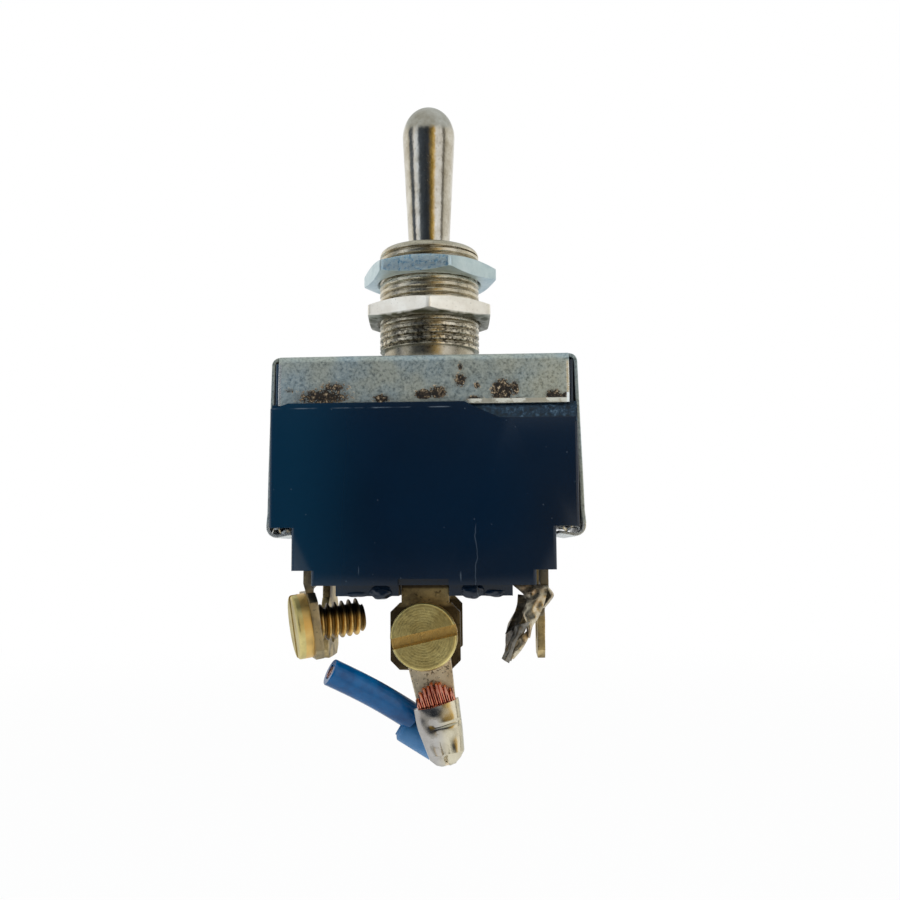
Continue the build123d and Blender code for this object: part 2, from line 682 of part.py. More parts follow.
for side, side_x in (("left", -1), ("right", 1)):
    for pole, side_y in (("front", -1), ("rear", 1)):
        strip_x = side_x * end_strip_x
        strip_y = side_y * end_strip_y
        foot_line_z = end_foot_z - terminal_sheet / 2
        bent = pole == "front"
        if not bent:
            strip_end_z = plate_top_z
        elif side == "left":
            strip_end_z = left_neck_end_z
        else:
            strip_end_z = right_neck_end_z
        with BuildPart() as terminal:
            with BuildSketch(Plane.XZ.offset(-strip_y)):
                with BuildLine():
                    FilletPolyline(
                        (strip_x, strip_end_z),
                        (strip_x, foot_line_z),
                        (side_x * end_foot_x, foot_line_z),
                        radius=end_strip_bend,
                    )
                trace(line_width=terminal_sheet)
            extrude(amount=neck_width / 2, both=True)
            if not bent:
                with BuildSketch(Plane.YZ.offset(strip_x - terminal_sheet / 2)):
                    with Locations((strip_y, (plate_top_z + plate_bottom_z) / 2)):
                        plate = Rectangle(plate_width, plate_height)
                    chamfer(plate.vertices(), plate_corner)
                    with Locations((strip_y, screw_z)):
                        Circle(tapped_radius, mode=Mode.SUBTRACT)
                extrude(amount=terminal_sheet)
            elif side == "left":
                with BuildSketch(left_pad):
                    plate = Rectangle(plate_width, plate_height)
                    chamfer(plate.vertices(), plate_corner)
                    Circle(tapped_radius, mode=Mode.SUBTRACT)
                extrude(amount=terminal_sheet)
                with BuildSketch(Plane.XY.offset(strip_end_z)):
                    with Locations((strip_x, strip_y)):
                        Rectangle(terminal_sheet, neck_width)
                with BuildSketch(Plane(
                    origin=left_pad.from_local_coords(Vector(0, plate_height / 2 - left_pad_bite, terminal_sheet / 2)),
                    x_dir=left_pad.z_dir,
                    z_dir=left_pad.y_dir,
                )):
                    Rectangle(terminal_sheet - 2 * press_gap, neck_width)
                loft()
            else:
                # Torn web that faces the front, and the plate hanging from it
                with BuildSketch(Plane.XZ.offset(web_outer_y)):
                    with BuildLine():
                        Polyline(
                            *[(strip_x + along, web_top_z - drop) for along, drop in web_edge],
                            close=True,
                        )
                    make_face()
                extrude(amount=-terminal_sheet)
                with BuildSketch(right_plate):
                    with BuildLine():
                        Polyline(*right_plate_edge, close=True)
                    make_face()
                extrude(amount=-terminal_sheet)
        terminal.part.label = f"terminal_{side}_{pole}"
        export_step(terminal.part, f"parts/terminal_{side}_{pole}.step")

        with BuildPart() as fixed_contact:
            with BuildSketch(Plane.XY.offset(end_foot_z)):
                with Locations((side_x * contact_x, side_y * pole_y)):
                    Circle(fixed_contact_radius)
            extrude(amount=fixed_contact_height)
        fixed_contact.part.label = f"fixed_contact_{side}_{pole}"
        export_step(fixed_contact.part, f"parts/fixed_contact_{side}_{pole}.step")

# Terminal screws: the seat plane faces outwards, so the head stands on it and the shank goes in
slot_lean = radians(front_slot_turn)
screw_seats = {
    "screw_centre_front": Plane(
        origin=(0, -front_screw_seat, screw_z),
        x_dir=(cos(slot_lean), 0, sin(slot_lean)),
        z_dir=(0, -1, 0),
    ),
    "screw_centre_rear": Plane(
        origin=(-rear_plate_shift, rear_screw_seat, screw_z),
        x_dir=(-1, 0, 0),
        z_dir=(0, 1, 0),
    ),
    "screw_left_front": Plane(origin=left_pad.origin, x_dir=left_pad.y_dir, z_dir=-left_pad.z_dir),
}
for screw_name, seat in screw_seats.items():
    with BuildPart() as screw:
        with BuildSketch(seat):
            Circle(screw_head_radius)
        extrude(amount=screw_head_height)
        fillet(screw.edges().filter_by(GeomType.CIRCLE).sort_by(Axis(seat.origin, seat.z_dir))[-1], screw_edge)
        with BuildSketch(seat.offset(screw_head_height)):
            Rectangle(2 * (screw_head_radius + cut_margin), screw_slot_width)
        extrude(amount=-screw_slot_depth, mode=Mode.SUBTRACT)
        with BuildSketch(seat):
            Circle(screw_radius)
        extrude(amount=-screw_length)
        chamfer(screw.edges().filter_by(GeomType.CIRCLE).sort_by(Axis(seat.origin, seat.z_dir))[0], screw_edge)
    screw.part.label = screw_name
    export_step(screw.part, f"parts/{screw_name}.step")

# Cable lug: flat eye under the screw head, tongue and a crimped barrel
lean = radians(lug_tilt)
lug_face = Plane(
    origin=(0, -neck_outer_y, screw_z),
    x_dir=(cos(lean), 0, sin(lean)),
    z_dir=(0, -1, 0),
)
with BuildPart() as lug:
    with BuildSketch(lug_face):
        Circle(lug_eye_radius)
        with Locations((0, -barrel_start / 2)):
            Rectangle(tongue_width, barrel_start)
        Circle(screw_radius + sheet_gap, mode=Mode.SUBTRACT)
    extrude(amount=lug_sheet)
    for along, middle, half_width, half_depth in barrel_sections:
        section_origin = Vector(middle, -barrel_start - along, barrel_mid_y)
        with BuildSketch(Plane(
            origin=lug_face.from_local_coords(section_origin),
            x_dir=lug_face.x_dir,
            z_dir=-lug_face.y_dir,
        )):
            Ellipse(half_width, half_depth)
    loft()
lug.part.label = "cable_lug"
export_step(lug.part, "parts/cable_lug.step")

# Bare strands fanned out on the tongue in front of the barrel
with BuildPart() as strands:
    with BuildSketch(lug_face.offset(lug_sheet)):
        with BuildLine():
            Polyline(*[(across, along - barrel_start) for across, along in strand_fan], close=True)
        make_face()
    extrude(amount=strand_height)
strands.part.label = "copper_strands"
export_step(strands.part, "parts/copper_strands.step")

# Stub of blue wire, cut off short, with its sleeve behind the barrel
lug_eye = Vector(0, -neck_outer_y, screw_z)
wire_end = lug_eye + Vector(wire_end_offset)
wire_path = lug_eye + Vector(wire_root_offset) - wire_end
wire_plane = Plane(origin=wire_end, z_dir=wire_path)
sleeve_start = lug_eye + Vector(sleeve_start_offset)
sleeve_path = lug_eye + Vector(sleeve_end_offset) - sleeve_start
with BuildPart() as wire_insulation:
    with BuildSketch(wire_plane):
        Circle(wire_radius)
        Circle(core_radius + press_gap, mode=Mode.SUBTRACT)
    extrude(amount=wire_path.length)
wire_insulation.part.label = "wire_insulation"
export_step(wire_insulation.part, "parts/wire_insulation.step")

with BuildPart() as wire_core:
    with BuildSketch(wire_plane):
        Circle(core_radius)
    extrude(amount=wire_path.length)
wire_core.part.label = "wire_core"
export_step(wire_core.part, "parts/wire_core.step")

with BuildPart() as wire_sleeve:
    with BuildSketch(Plane(origin=sleeve_start, z_dir=sleeve_path)):
        Circle(sleeve_radius)
    extrude(amount=sleeve_path.length)
    with BuildSketch(wire_plane.offset(-sheet_gap)):
        Circle(wire_radius + press_gap)
    extrude(amount=wire_path.length + 2 * sheet_gap, mode=Mode.SUBTRACT)
wire_sleeve.part.label = "wire_sleeve"
export_step(wire_sleeve.part, "parts/wire_sleeve.step")
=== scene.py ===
"""Dresses the panel toggle switch: threads, worn plating, the broken moulding, the crimped lug and the
wire stub.

Laid out as an add-on: sizes and colours are properties, each piece or group of like pieces is an operator.
Lengths in the code are millimetres in the part's own frame, and become metres where a mesh is made.
"""

import math

import bmesh
import bpy
import numpy as np
from mathutils import Matrix, Vector


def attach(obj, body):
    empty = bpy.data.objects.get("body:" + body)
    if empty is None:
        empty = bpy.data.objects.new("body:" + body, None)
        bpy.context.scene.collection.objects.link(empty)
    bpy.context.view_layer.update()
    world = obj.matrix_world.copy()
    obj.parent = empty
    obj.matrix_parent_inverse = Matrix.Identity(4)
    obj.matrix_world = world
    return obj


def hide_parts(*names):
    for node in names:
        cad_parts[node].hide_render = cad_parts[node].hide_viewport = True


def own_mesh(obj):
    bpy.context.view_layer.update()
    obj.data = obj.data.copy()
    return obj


bl_info = {
    "name": "Panel Toggle Switch",
    "version": (1, 0, 0),
    "blender": (4, 5, 0),
    "location": "View3D > Sidebar > Switch",
    "description": "Builds the visible surfaces of a used panel toggle switch around its frame",
    "category": "Add Mesh",
}

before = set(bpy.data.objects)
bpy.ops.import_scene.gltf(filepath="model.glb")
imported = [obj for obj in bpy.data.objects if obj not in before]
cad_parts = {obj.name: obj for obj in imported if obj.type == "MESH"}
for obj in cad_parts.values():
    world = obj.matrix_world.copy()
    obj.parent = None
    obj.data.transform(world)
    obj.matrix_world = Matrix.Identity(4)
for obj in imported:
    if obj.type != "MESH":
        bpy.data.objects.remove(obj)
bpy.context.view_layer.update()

MM = 0.001
ROUND = 2 * math.pi


def srgb(code):
    """Linear colour of an sRGB hex code, by the usual curve, with full alpha."""
    parts = np.array([int(code[i:i + 2], 16) for i in (0, 2, 4)]) / 255
    linear = np.where(parts <= 0.04045, parts / 12.92, ((parts + 0.055) / 1.055) ** 2.4)
    return (*linear.tolist(), 1.0)


def length(title, about, millimetres):
    """A length property whose default is given in millimetres."""
    return bpy.props.FloatProperty(
        name=title, description=about, default=millimetres * MM, unit="LENGTH", precision=6
    )


def tint(title, about, code):
    """A colour property whose default is an sRGB hex code."""
    return bpy.props.FloatVectorProperty(
        name=title, description=about, subtype="COLOR", size=4, min=0.0, max=1.0, default=srgb(code)
    )


class SwitchSizes(bpy.types.PropertyGroup):
    """Sizes of the details that the frame leaves plain."""

    bushing_pitch: length("Bushing pitch", "Rise of the bushing's thread in one turn", 0.794)
    bushing_groove: length("Bushing groove", "Depth of the bushing's thread", 0.36)
    screw_pitch: length("Screw pitch", "Rise of a terminal screw's thread in one turn", 0.82)
    screw_groove: length("Screw groove", "Depth of a terminal screw's thread", 0.52)
    strand_width: length("Strand width", "Thickness of one bare copper strand", 0.45)
    lug_wall: length("Lug wall", "Thickness of the lug's crimped wall", 0.45)
    edge_wear: length("Edge wear", "Rounding of the moulding's and the sheet's edges", 0.09)


class SwitchColours(bpy.types.PropertyGroup):
    """Base colours of the finishes."""

    lever: tint("Lever", "Polished nickel", "DAD7CF")
    bushing: tint("Bushing", "Turned nickel", "E6DFCE")
    lower_nut: tint("Lower nut", "Bright nickel", "FCF9F0")
    upper_nut: tint("Upper nut", "Blue zinc", "D4E4EA")
    cover: tint("Cover", "Dull zinc", "A9BBC2")
    case: tint("Case", "Satin moulding", "00172C")
    terminal: tint("Terminal", "Tarnished strip", "D6C08C")
    screw: tint("Screw", "Tarnished brass", "E6D692")
    slot: tint("Screw slot", "Brass in the slot", "ECC67A")
    lug: tint("Lug", "Tinned copper", "F6E8CE")
    crimp: tint("Crimp", "Tin along the crimp", "DEDACF")
    copper: tint("Copper", "Bare strands", "F0A48C")
    insulation: tint("Insulation", "Wire insulation", "003F70")
    sleeve: tint("Sleeve", "Lug sleeve", "005586")


def per(millimetres):
    """Texture scale whose features are this many millimetres across."""
    return 1.0 / (millimetres * MM)


def add(tree, kind, links=None, ramp=None, between=None, **settings):
    """Adds a node: settings are its own properties, links maps each input to a value, a node or a socket.

    ramp gives a colour ramp's stops. between makes a map range a smooth mask: 0 at its first value, 1 at
    its second.
    """
    links = dict(links or {})
    made = tree.nodes.new(f"ShaderNode{kind}")
    for key, value in settings.items():
        setattr(made, key, value)
    if ramp:
        while len(made.color_ramp.elements) < len(ramp):
            made.color_ramp.elements.new(0.5)
        for element, (position, colour) in zip(made.color_ramp.elements, ramp):
            element.position = position
            element.color = colour
    if between:
        made.interpolation_type = "SMOOTHSTEP"
        links["From Min"], links["From Max"] = between
    for key, value in links.items():
        if isinstance(value, bpy.types.Node):
            value = next(output for output in value.outputs if output.enabled)
        if isinstance(value, bpy.types.NodeSocket):
            tree.links.new(value, made.inputs[key])
        else:
            made.inputs[key].default_value = value
    return made


def finish(name, **sockets):
    """A new material: returns it with its tree, its shader and the object coordinates. sockets are
    constants."""
    material = bpy.data.materials.new(name)
    material.use_nodes = True
    tree = material.node_tree
    shader = tree.nodes["Principled BSDF"]
    for key, value in sockets.items():
        shader.inputs[key.replace("_", " ")].default_value = value
    place = add(tree, "TexCoord").outputs["Object"]
    return material, tree, shader, place


def worn_metal(name, colour, dark, roughness, spread, grain, relief, streak=(1, 1, 1), speck=0.0,
               speck_size=0.3):
    """Plated or bare metal: two soft layers of stain, fine grain in roughness and relief, and dark specks.

    Returns the material, its tree, its shader, the coordinates and the colour node, so a finish can add to
    it.
    """
    material, tree, shader, place = finish(name, Metallic=1.0)
    stretched = add(tree, "Mapping", {"Vector": place, "Scale": streak})
    stain = add(tree, "TexNoise", {"Vector": place, "Scale": per(2.6), "Detail": 5.0, "Roughness": 0.62})
    fine = add(tree, "TexNoise", {"Vector": stretched, "Scale": per(grain), "Detail": 4.0})
    tone = add(tree, "ValToRGB", {"Fac": stain}, ramp=[(0.34, dark), (0.62, colour)])
    speckle = add(tree, "TexNoise", {"Vector": place, "Scale": per(speck_size), "Detail": 3.0})
    spots = add(tree, "MapRange", {
        "Value": speckle, "From Min": 0.68 - 0.14 * speck, "From Max": 0.74 - 0.12 * speck,
        "To Max": min(1.0, speck),
    })
    dirty = add(tree, "Mix", {0: spots, 6: tone, 7: srgb("2B231A")}, data_type="RGBA")
    tree.links.new(dirty.outputs[2], shader.inputs["Base Color"])
    rough = add(tree, "MapRange", {
        "Value": fine, "From Min": 0.3, "From Max": 0.7,
        "To Min": max(0.04, roughness - spread), "To Max": roughness + spread,
    })
    rougher = add(tree, "Math", {0: spots, 1: 0.4, 2: rough}, operation="MULTIPLY_ADD")
    tree.links.new(rougher.outputs[0], shader.inputs["Roughness"])
    bump = add(tree, "Bump", {"Height": fine, "Strength": relief, "Distance": 0.02 * MM})
    tree.links.new(bump.outputs[0], shader.inputs["Normal"])
    return material, tree, shader, place, dirty


def turned(radii, heights, segments=128):
    """Surface of revolution about Z: each profile point goes round the axis at its own radius and height."""
    angle = np.linspace(0, ROUND, segments, endpoint=False)
    radii = np.asarray(radii, float)[:, None]
    heights = np.asarray(heights, float)[:, None]
    return np.stack([radii * np.cos(angle), radii * np.sin(angle), heights + 0 * angle], axis=2)


def groove(angle, height, pitch, depth, crest=0.22, root=0.12):
    """Depth of a thread: a V of the height less the turn, flat at crest and root, eased between them."""
    across = np.abs(((height / pitch - angle / ROUND) % 1.0) * 2 - 1)
    slope = np.clip((1 - across - crest) / (1 - crest - root), 0, 1)
    return depth * slope * slope * (3 - 2 * slope)


def placed(points, origin, x_dir, y_dir, z_dir):
    """Points given along three axes from an origin, in the part's own frame."""
    return np.asarray(origin, float) + points @ np.array([x_dir, y_dir, z_dir], float)


def unit(vector):
    """The vector at length one."""
    vector = np.asarray(vector, float)
    return vector / np.linalg.norm(vector)


def tube(path, radius, segments=20, squash=1.0):
    """Tube along a path: a circle carried along in the plane across the path, its radius given at each
    point."""
    path = np.asarray(path, float)
    along = np.gradient(path, axis=0)
    along /= np.linalg.norm(along, axis=1)[:, None]
    side = np.cross(along, (0.13, 0.2, 0.97))
    side /= np.linalg.norm(side, axis=1)[:, None]
    over = np.cross(side, along)
    angle = np.linspace(0, ROUND, segments, endpoint=False)
    radius = np.broadcast_to(np.asarray(radius, float), len(path))[:, None, None]
    turn = np.cos(angle)[None, :, None] * side[:, None, :] + squash * np.sin(angle)[None, :,
                                                                                    None] * over[:, None, :]
    return path[:, None, :] + radius * turn


def capped(rings_grid):
    """Adds each end's centre point, so the tube closes there."""
    first = np.broadcast_to(rings_grid[0].mean(0), rings_grid[0].shape)[None]
    last = np.broadcast_to(rings_grid[-1].mean(0), rings_grid[-1].shape)[None]
    return np.concatenate([first, rings_grid, last])


def smooth_path(points, count):
    """Path through the points, by Catmull and Rom's cubic between each two."""
    points = np.asarray(points, float)
    padded = np.concatenate([[2 * points[0] - points[1]], points, [2 * points[-1] - points[-2]]])
    where = np.linspace(0, len(points) - 1, count)
    left = np.minimum(where.astype(int), len(points) - 2)
    t = (where - left)[:, None]
    a, b, c, d = (padded[left + k] for k in range(4))
    return 0.5 * (
        2 * b + (c - a) * t + (2 * a - 5 * b + 4 * c - d) * t ** 2 + (3 * b - a - 3 * c + d) * t ** 3
    )


def scrap(left, right, normal, thick, wave, size, seed, count=40, across=10, bow=0.0):
    """Torn strip of sheet closed round its thickness.

    Each row joins the left edge's point to the right edge's, bowed by half a sine wave and rippled along
    the normal.
    """
    left, right = smooth_path(left, count)[:, None, :], smooth_path(right, count)[:, None, :]
    share = np.linspace(0, 1, across)[None, :, None]
    normal = unit(normal)
    sheet = left * (1 - share) + right * share
    sheet = sheet + normal * (bow * np.sin(math.pi * share) + wave * ripple(sheet, size, seed)[:, :, None])
    return capped(np.concatenate([sheet + normal * thick / 2, (sheet - normal * thick / 2)[:, ::-1]], axis=1))


def ripple(points, size, seed, waves=14):
    """Gentle unevenness from -1 to 1: the mean of sine waves in fixed random directions, about size apart."""
    draw = np.random.default_rng(seed)
    directions = draw.normal(size=(waves, 3))
    directions *= (ROUND / size * draw.uniform(0.6, 1.6, waves) / np.linalg.norm(directions, axis=1))[:, None]
    phase = draw.uniform(0, ROUND, waves)
    return np.sin(points @ directions.T + phase).mean(-1) * 2.2


def settle(made, body, material, nodes, sharp):
    """Gives a piece its shading, finish and body, and lets it stand for its CAD nodes."""
    made.data.shade_smooth()
    made.data.set_sharp_from_angle(angle=math.radians(sharp))
    made.data.materials.clear()
    made.data.materials.append(material)
    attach(made, body)
    if nodes:
        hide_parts(*nodes)
    return made


def piece(name, grids, body, material, nodes=(), sharp=38.0):
    """One object from grids of points in millimetres; each grid says whether its rows and its columns
    close."""
    corners, faces, used = [], [], 0
    for points, close_rows, close_columns in grids:
        rows, columns = points.shape[:2]
        i = np.arange(rows if close_rows else rows - 1)[:, None]
        j = np.arange(columns if close_columns else columns - 1)[None, :]
        ring, step = (i + 1) % rows, (j + 1) % columns
        quads = np.stack([i * columns + j, ring * columns + j, ring * columns + step, i * columns + step],
                         axis=2)
        faces.append(quads.reshape(-1, 4) + used)
        corners.append(points.reshape(-1, 3) * MM)
        used += rows * columns
    mesh = bpy.data.meshes.new(name)
    mesh.from_pydata(np.concatenate(corners), [], np.concatenate(faces).tolist())
    tidy = bmesh.new()
    tidy.from_mesh(mesh)
    bmesh.ops.remove_doubles(tidy, verts=tidy.verts, dist=1e-8)
    bmesh.ops.dissolve_degenerate(tidy, edges=tidy.edges, dist=1e-8)
    bmesh.ops.recalc_face_normals(tidy, faces=tidy.faces)
    tidy.to_mesh(mesh)
    tidy.free()
    made = bpy.data.objects.new(name, mesh)
    bpy.context.scene.collection.objects.link(made)
    return settle(made, body, material, nodes, sharp)


def softened(name, node, width, body, material, wave=0.0, wave_size=4.0, seed=1, cuts=0):
    """A merged copy of a CAD node with its edges rounded, and its faces made a little uneven where wave is
    set."""
    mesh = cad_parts[node].data.copy()
    mesh.name = name
    work = bmesh.new()
    work.from_mesh(mesh)
    bmesh.ops.remove_doubles(work, verts=work.verts, dist=2e-6)
    bmesh.ops.dissolve_limit(work, angle_limit=math.radians(0.6), verts=work.verts, edges=work.edges)
    edges = [edge for edge in work.edges if edge.is_manifold and edge.calc_face_angle(0.0) > math.radians(28)]
    bmesh.ops.bevel(work, geom=edges, offset=width * MM, segments=2, profile=0.6, affect="EDGES",
                    clamp_overlap=True)
    if cuts:
        bmesh.ops.triangulate(work, faces=work.faces)
        bmesh.ops.subdivide_edges(work, edges=work.edges, cuts=cuts, use_grid_fill=True)
    bmesh.ops.remove_doubles(work, verts=work.verts, dist=1e-7)
    bmesh.ops.recalc_face_normals(work, faces=work.faces)
    work.to_mesh(mesh)
    work.free()
    if wave:
        count = len(mesh.vertices)
        at = np.empty(count * 3)
        facing = np.empty(count * 3)
        mesh.vertices.foreach_get("co", at)
        mesh.vertices.foreach_get("normal", facing)
        at, facing = at.reshape(-1, 3), facing.reshape(-1, 3)
        at += facing * (ripple(at / MM, wave_size, seed) * wave * MM)[:, None]
        mesh.vertices.foreach_set("co", at.ravel())
    made = bpy.data.objects.new(name, mesh)
    bpy.context.scene.collection.objects.link(made)
    return settle(made, body, material, (node,), 32.0)


class SWITCH_OT_lever(bpy.types.Operator):
    """Polished bat lever: a turned profile with a round tip, a narrow neck and the pivot ball."""

    bl_idname = "switch.lever"
    bl_label = "Lever"

    def execute(self, context):
        colours = context.scene.switch_colours
        # Nickel plate over steel, polished lengthwise: a sharp gloss with faint mottling and a few pits
        material, tree, shader, place = worn_metal(
            "polished nickel plate", colours.lever, srgb("B5AE9F"), 0.17, 0.05, 0.35, 0.12,
            streak=(1, 1, 0.12), speck=0.25, speck_size=0.4,
        )[:4]
        cloudy = add(tree, "TexNoise", {"Vector": place, "Scale": per(1.5), "Detail": 3.0, "Roughness": 0.6})
        old = shader.inputs["Normal"].links[0].from_socket
        dented = add(tree, "Bump", {"Height": cloudy, "Strength": 0.35, "Distance": 0.12 * MM, "Normal": old})
        tree.links.new(dented.outputs[0], shader.inputs["Normal"])
        # Radii of the ball, the neck, the shank and the blade's wide end, and the heights that they stand at
        ball, neck, shank, wide = 3.3, 2.15, 1.8, 3.17
        foot_z, pivot_z, neck_z, wide_z, tip_z = -5.2, 6.0, 9.4, 28.6, 32.72
        foot_edge = 0.15
        swing = np.linspace(math.pi - math.asin(shank / ball), math.asin(neck / ball), 30)
        # The round tip is a cubic curve, with the radius and height of each of its four points
        t = np.linspace(0, 1, 34)[1:, None]
        a, b, c, d = np.array([(wide, wide_z), (3.33, 30.8), (1.965, tip_z), (0, tip_z)])
        tip = (1 - t) ** 3 * a + 3 * t * (1 - t) ** 2 * b + 3 * t ** 2 * (1 - t) * c + t ** 3 * d
        blade = np.linspace(0, 1, 30)
        radii = np.concatenate([
            [0, shank - foot_edge, shank], ball * np.sin(swing), neck + (wide - neck) * blade, tip[:, 0],
        ])
        heights = np.concatenate([
            [foot_z, foot_z, foot_z + foot_edge], pivot_z + ball * np.cos(swing),
            neck_z + (wide_z - neck_z) * blade, tip[:, 1],
        ])
        piece("bat_lever", [(turned(radii, heights, 96), False, True)], "lever_body",
              material,
              ("lever",), 50.0)
        return {"FINISHED"}


class SWITCH_OT_bushing(bpy.types.Operator):
    """Threaded bushing: a helical groove cut in a turned sleeve, open through its bore."""

    bl_idname = "switch.bushing"
    bl_label = "Bushing"

    def execute(self, context):
        sizes, colours = context.scene.switch_sizes, context.scene.switch_colours
        # Turned brass, nickel plated: warm where the plate is thin, brown dirt low down, and painted shade
        # that darkens the thread's roots
        material, tree, shader, place, tone = worn_metal(
            "turned nickel plate", colours.bushing, srgb("B9AF98"), 0.3, 0.07, 0.25, 0.2,
            speck=0.35, speck_size=0.35,
        )
        parts = add(tree, "SeparateXYZ", {"Vector": place})
        flat = add(tree, "VectorMath", {0: place, 1: (1, 1, 0)}, operation="MULTIPLY")
        radius = add(tree, "VectorMath", {0: flat}, operation="LENGTH").outputs["Value"]
        root = add(tree, "MapRange", {"Value": radius}, between=(5.8 * MM, 5.56 * MM))
        low = add(tree, "MapRange", {"Value": parts.outputs["Z"]}, between=(6.2 * MM, 3.6 * MM))
        grit = add(tree, "TexNoise", {"Vector": place, "Scale": per(0.4), "Detail": 6.0, "Roughness": 0.7})
        caked = add(tree, "MapRange", {"Value": grit, "From Min": 0.46, "From Max": 0.58, "To Max": 0.9})
        above = add(tree, "MapRange", {"Value": parts.outputs["Z"]}, between=(1.9 * MM, 2.5 * MM))
        caking = add(tree, "Math", {0: low, 1: above}, operation="MULTIPLY")
        lowest = add(tree, "Math", {0: caking, 1: caked}, operation="MULTIPLY")
        # Painted shade: the thread's roots are darkened a little, joined with the real dirt low down
        deep = add(tree, "Math", {0: root, 1: 0.35}, operation="MULTIPLY")
        darkening = add(tree, "Math", {0: lowest, 1: deep}, operation="MAXIMUM")
        darkened_tone = add(tree, "Mix", {0: darkening, 6: tone.outputs[2], 7: srgb("2E281D")}, data_type="RGBA")
        tree.links.new(darkened_tone.outputs[2], shader.inputs["Base Color"])
        # Radii of the thread, the bore, the flange, the plain neck under the thread and the rim's rounding
        outer, bore, flange, boss, rounding = 5.95, 3.45, 6.9, 5.42, 0.75
        boss_top, rim_z = 2.2, 13.8
        segments = 144
        rows = np.linspace(boss_top, rim_z, 176)
        quarter = np.linspace(0, math.pi / 2, 9)
        radii = np.concatenate([
            [bore, flange, flange, outer, outer, boss + 0.35, boss + 0.05, boss, boss, boss],
            np.full(len(rows), outer), outer - rounding + rounding * np.cos(quarter), [4.55, 4.45],
            np.linspace(4.4, bore, 8), [bore],
        ])
        heights = np.concatenate([
            [-1.2, -1.2, -0.4, -0.4, -0.3, 0.1, 0.8, 1.3, 1.9, boss_top - 0.03], rows,
            rim_z + rounding * np.sin(quarter), [14.55, 14.5], np.linspace(14.3, 8.5, 8), [0.0],
        ])
        grid = turned(radii, heights, segments)
        angle = np.linspace(0, ROUND, segments, endpoint=False)
        first, last = 10, 10 + len(rows)
        ease = np.clip((rows - boss_top + 0.3) / 0.6, 0, 1) * np.clip((14.3 - rows) / 0.5, 0, 1)
        cut = groove(angle[None, :], rows[:, None], sizes.bushing_pitch / MM, sizes.bushing_groove / MM,
                     0.42, 0.1)
        thin = outer - cut * ease[:, None]
        grid[first:last, :, 0] = thin * np.cos(angle)
        grid[first:last, :, 1] = thin * np.sin(angle)
        piece("threaded_bushing", [(grid, True, True)], "base", material, ("bushing",), 45.0)
        return {"FINISHED"}


def hexagon_nut(base, thickness, turn, bore, flats, segments=240):
    """Thin nut as one closed band: bore, flat face, cone chamfer cut by the hexagon, side, and back again."""
    angle = np.linspace(0, ROUND, segments, endpoint=False)
    local = (angle - math.radians(turn) + math.pi / 6) % (math.pi / 3) - math.pi / 6
    # The corners stand at the turn, so the flats' middles are half a side away
    half = flats / 2
    side = half / np.cos(math.pi / 6 - np.abs(local))
    side = np.minimum(side, half / math.cos(math.pi / 6) - 0.1)
    slope = 0.349
    rows = []
    for z_face, sign in ((base, 1.0), (base + thickness, -1.0)):
        part = [(np.full(segments, bore), z_face + sign * 0.3), (np.full(segments, bore + 0.3), z_face)]
        part.append((np.full(segments, half - 0.12), z_face))
        for share in np.linspace(0, 1, 7):
            radius = half - 0.06 + share * (side - half + 0.06)
            part.append((radius, z_face + sign * (np.maximum(radius - half, 0) * slope + 0.02)))
        radius = side + 0 * angle
        part.append((radius + 0.02, z_face + sign * (np.maximum(side - half, 0) * slope + 0.09)))
        rows.append([(r, z + 0 * angle) for r, z in part])
    order = rows[0] + rows[1][::-1]
    return np.stack([np.stack([r * np.cos(angle), r * np.sin(angle), z], axis=1) for r, z in order])


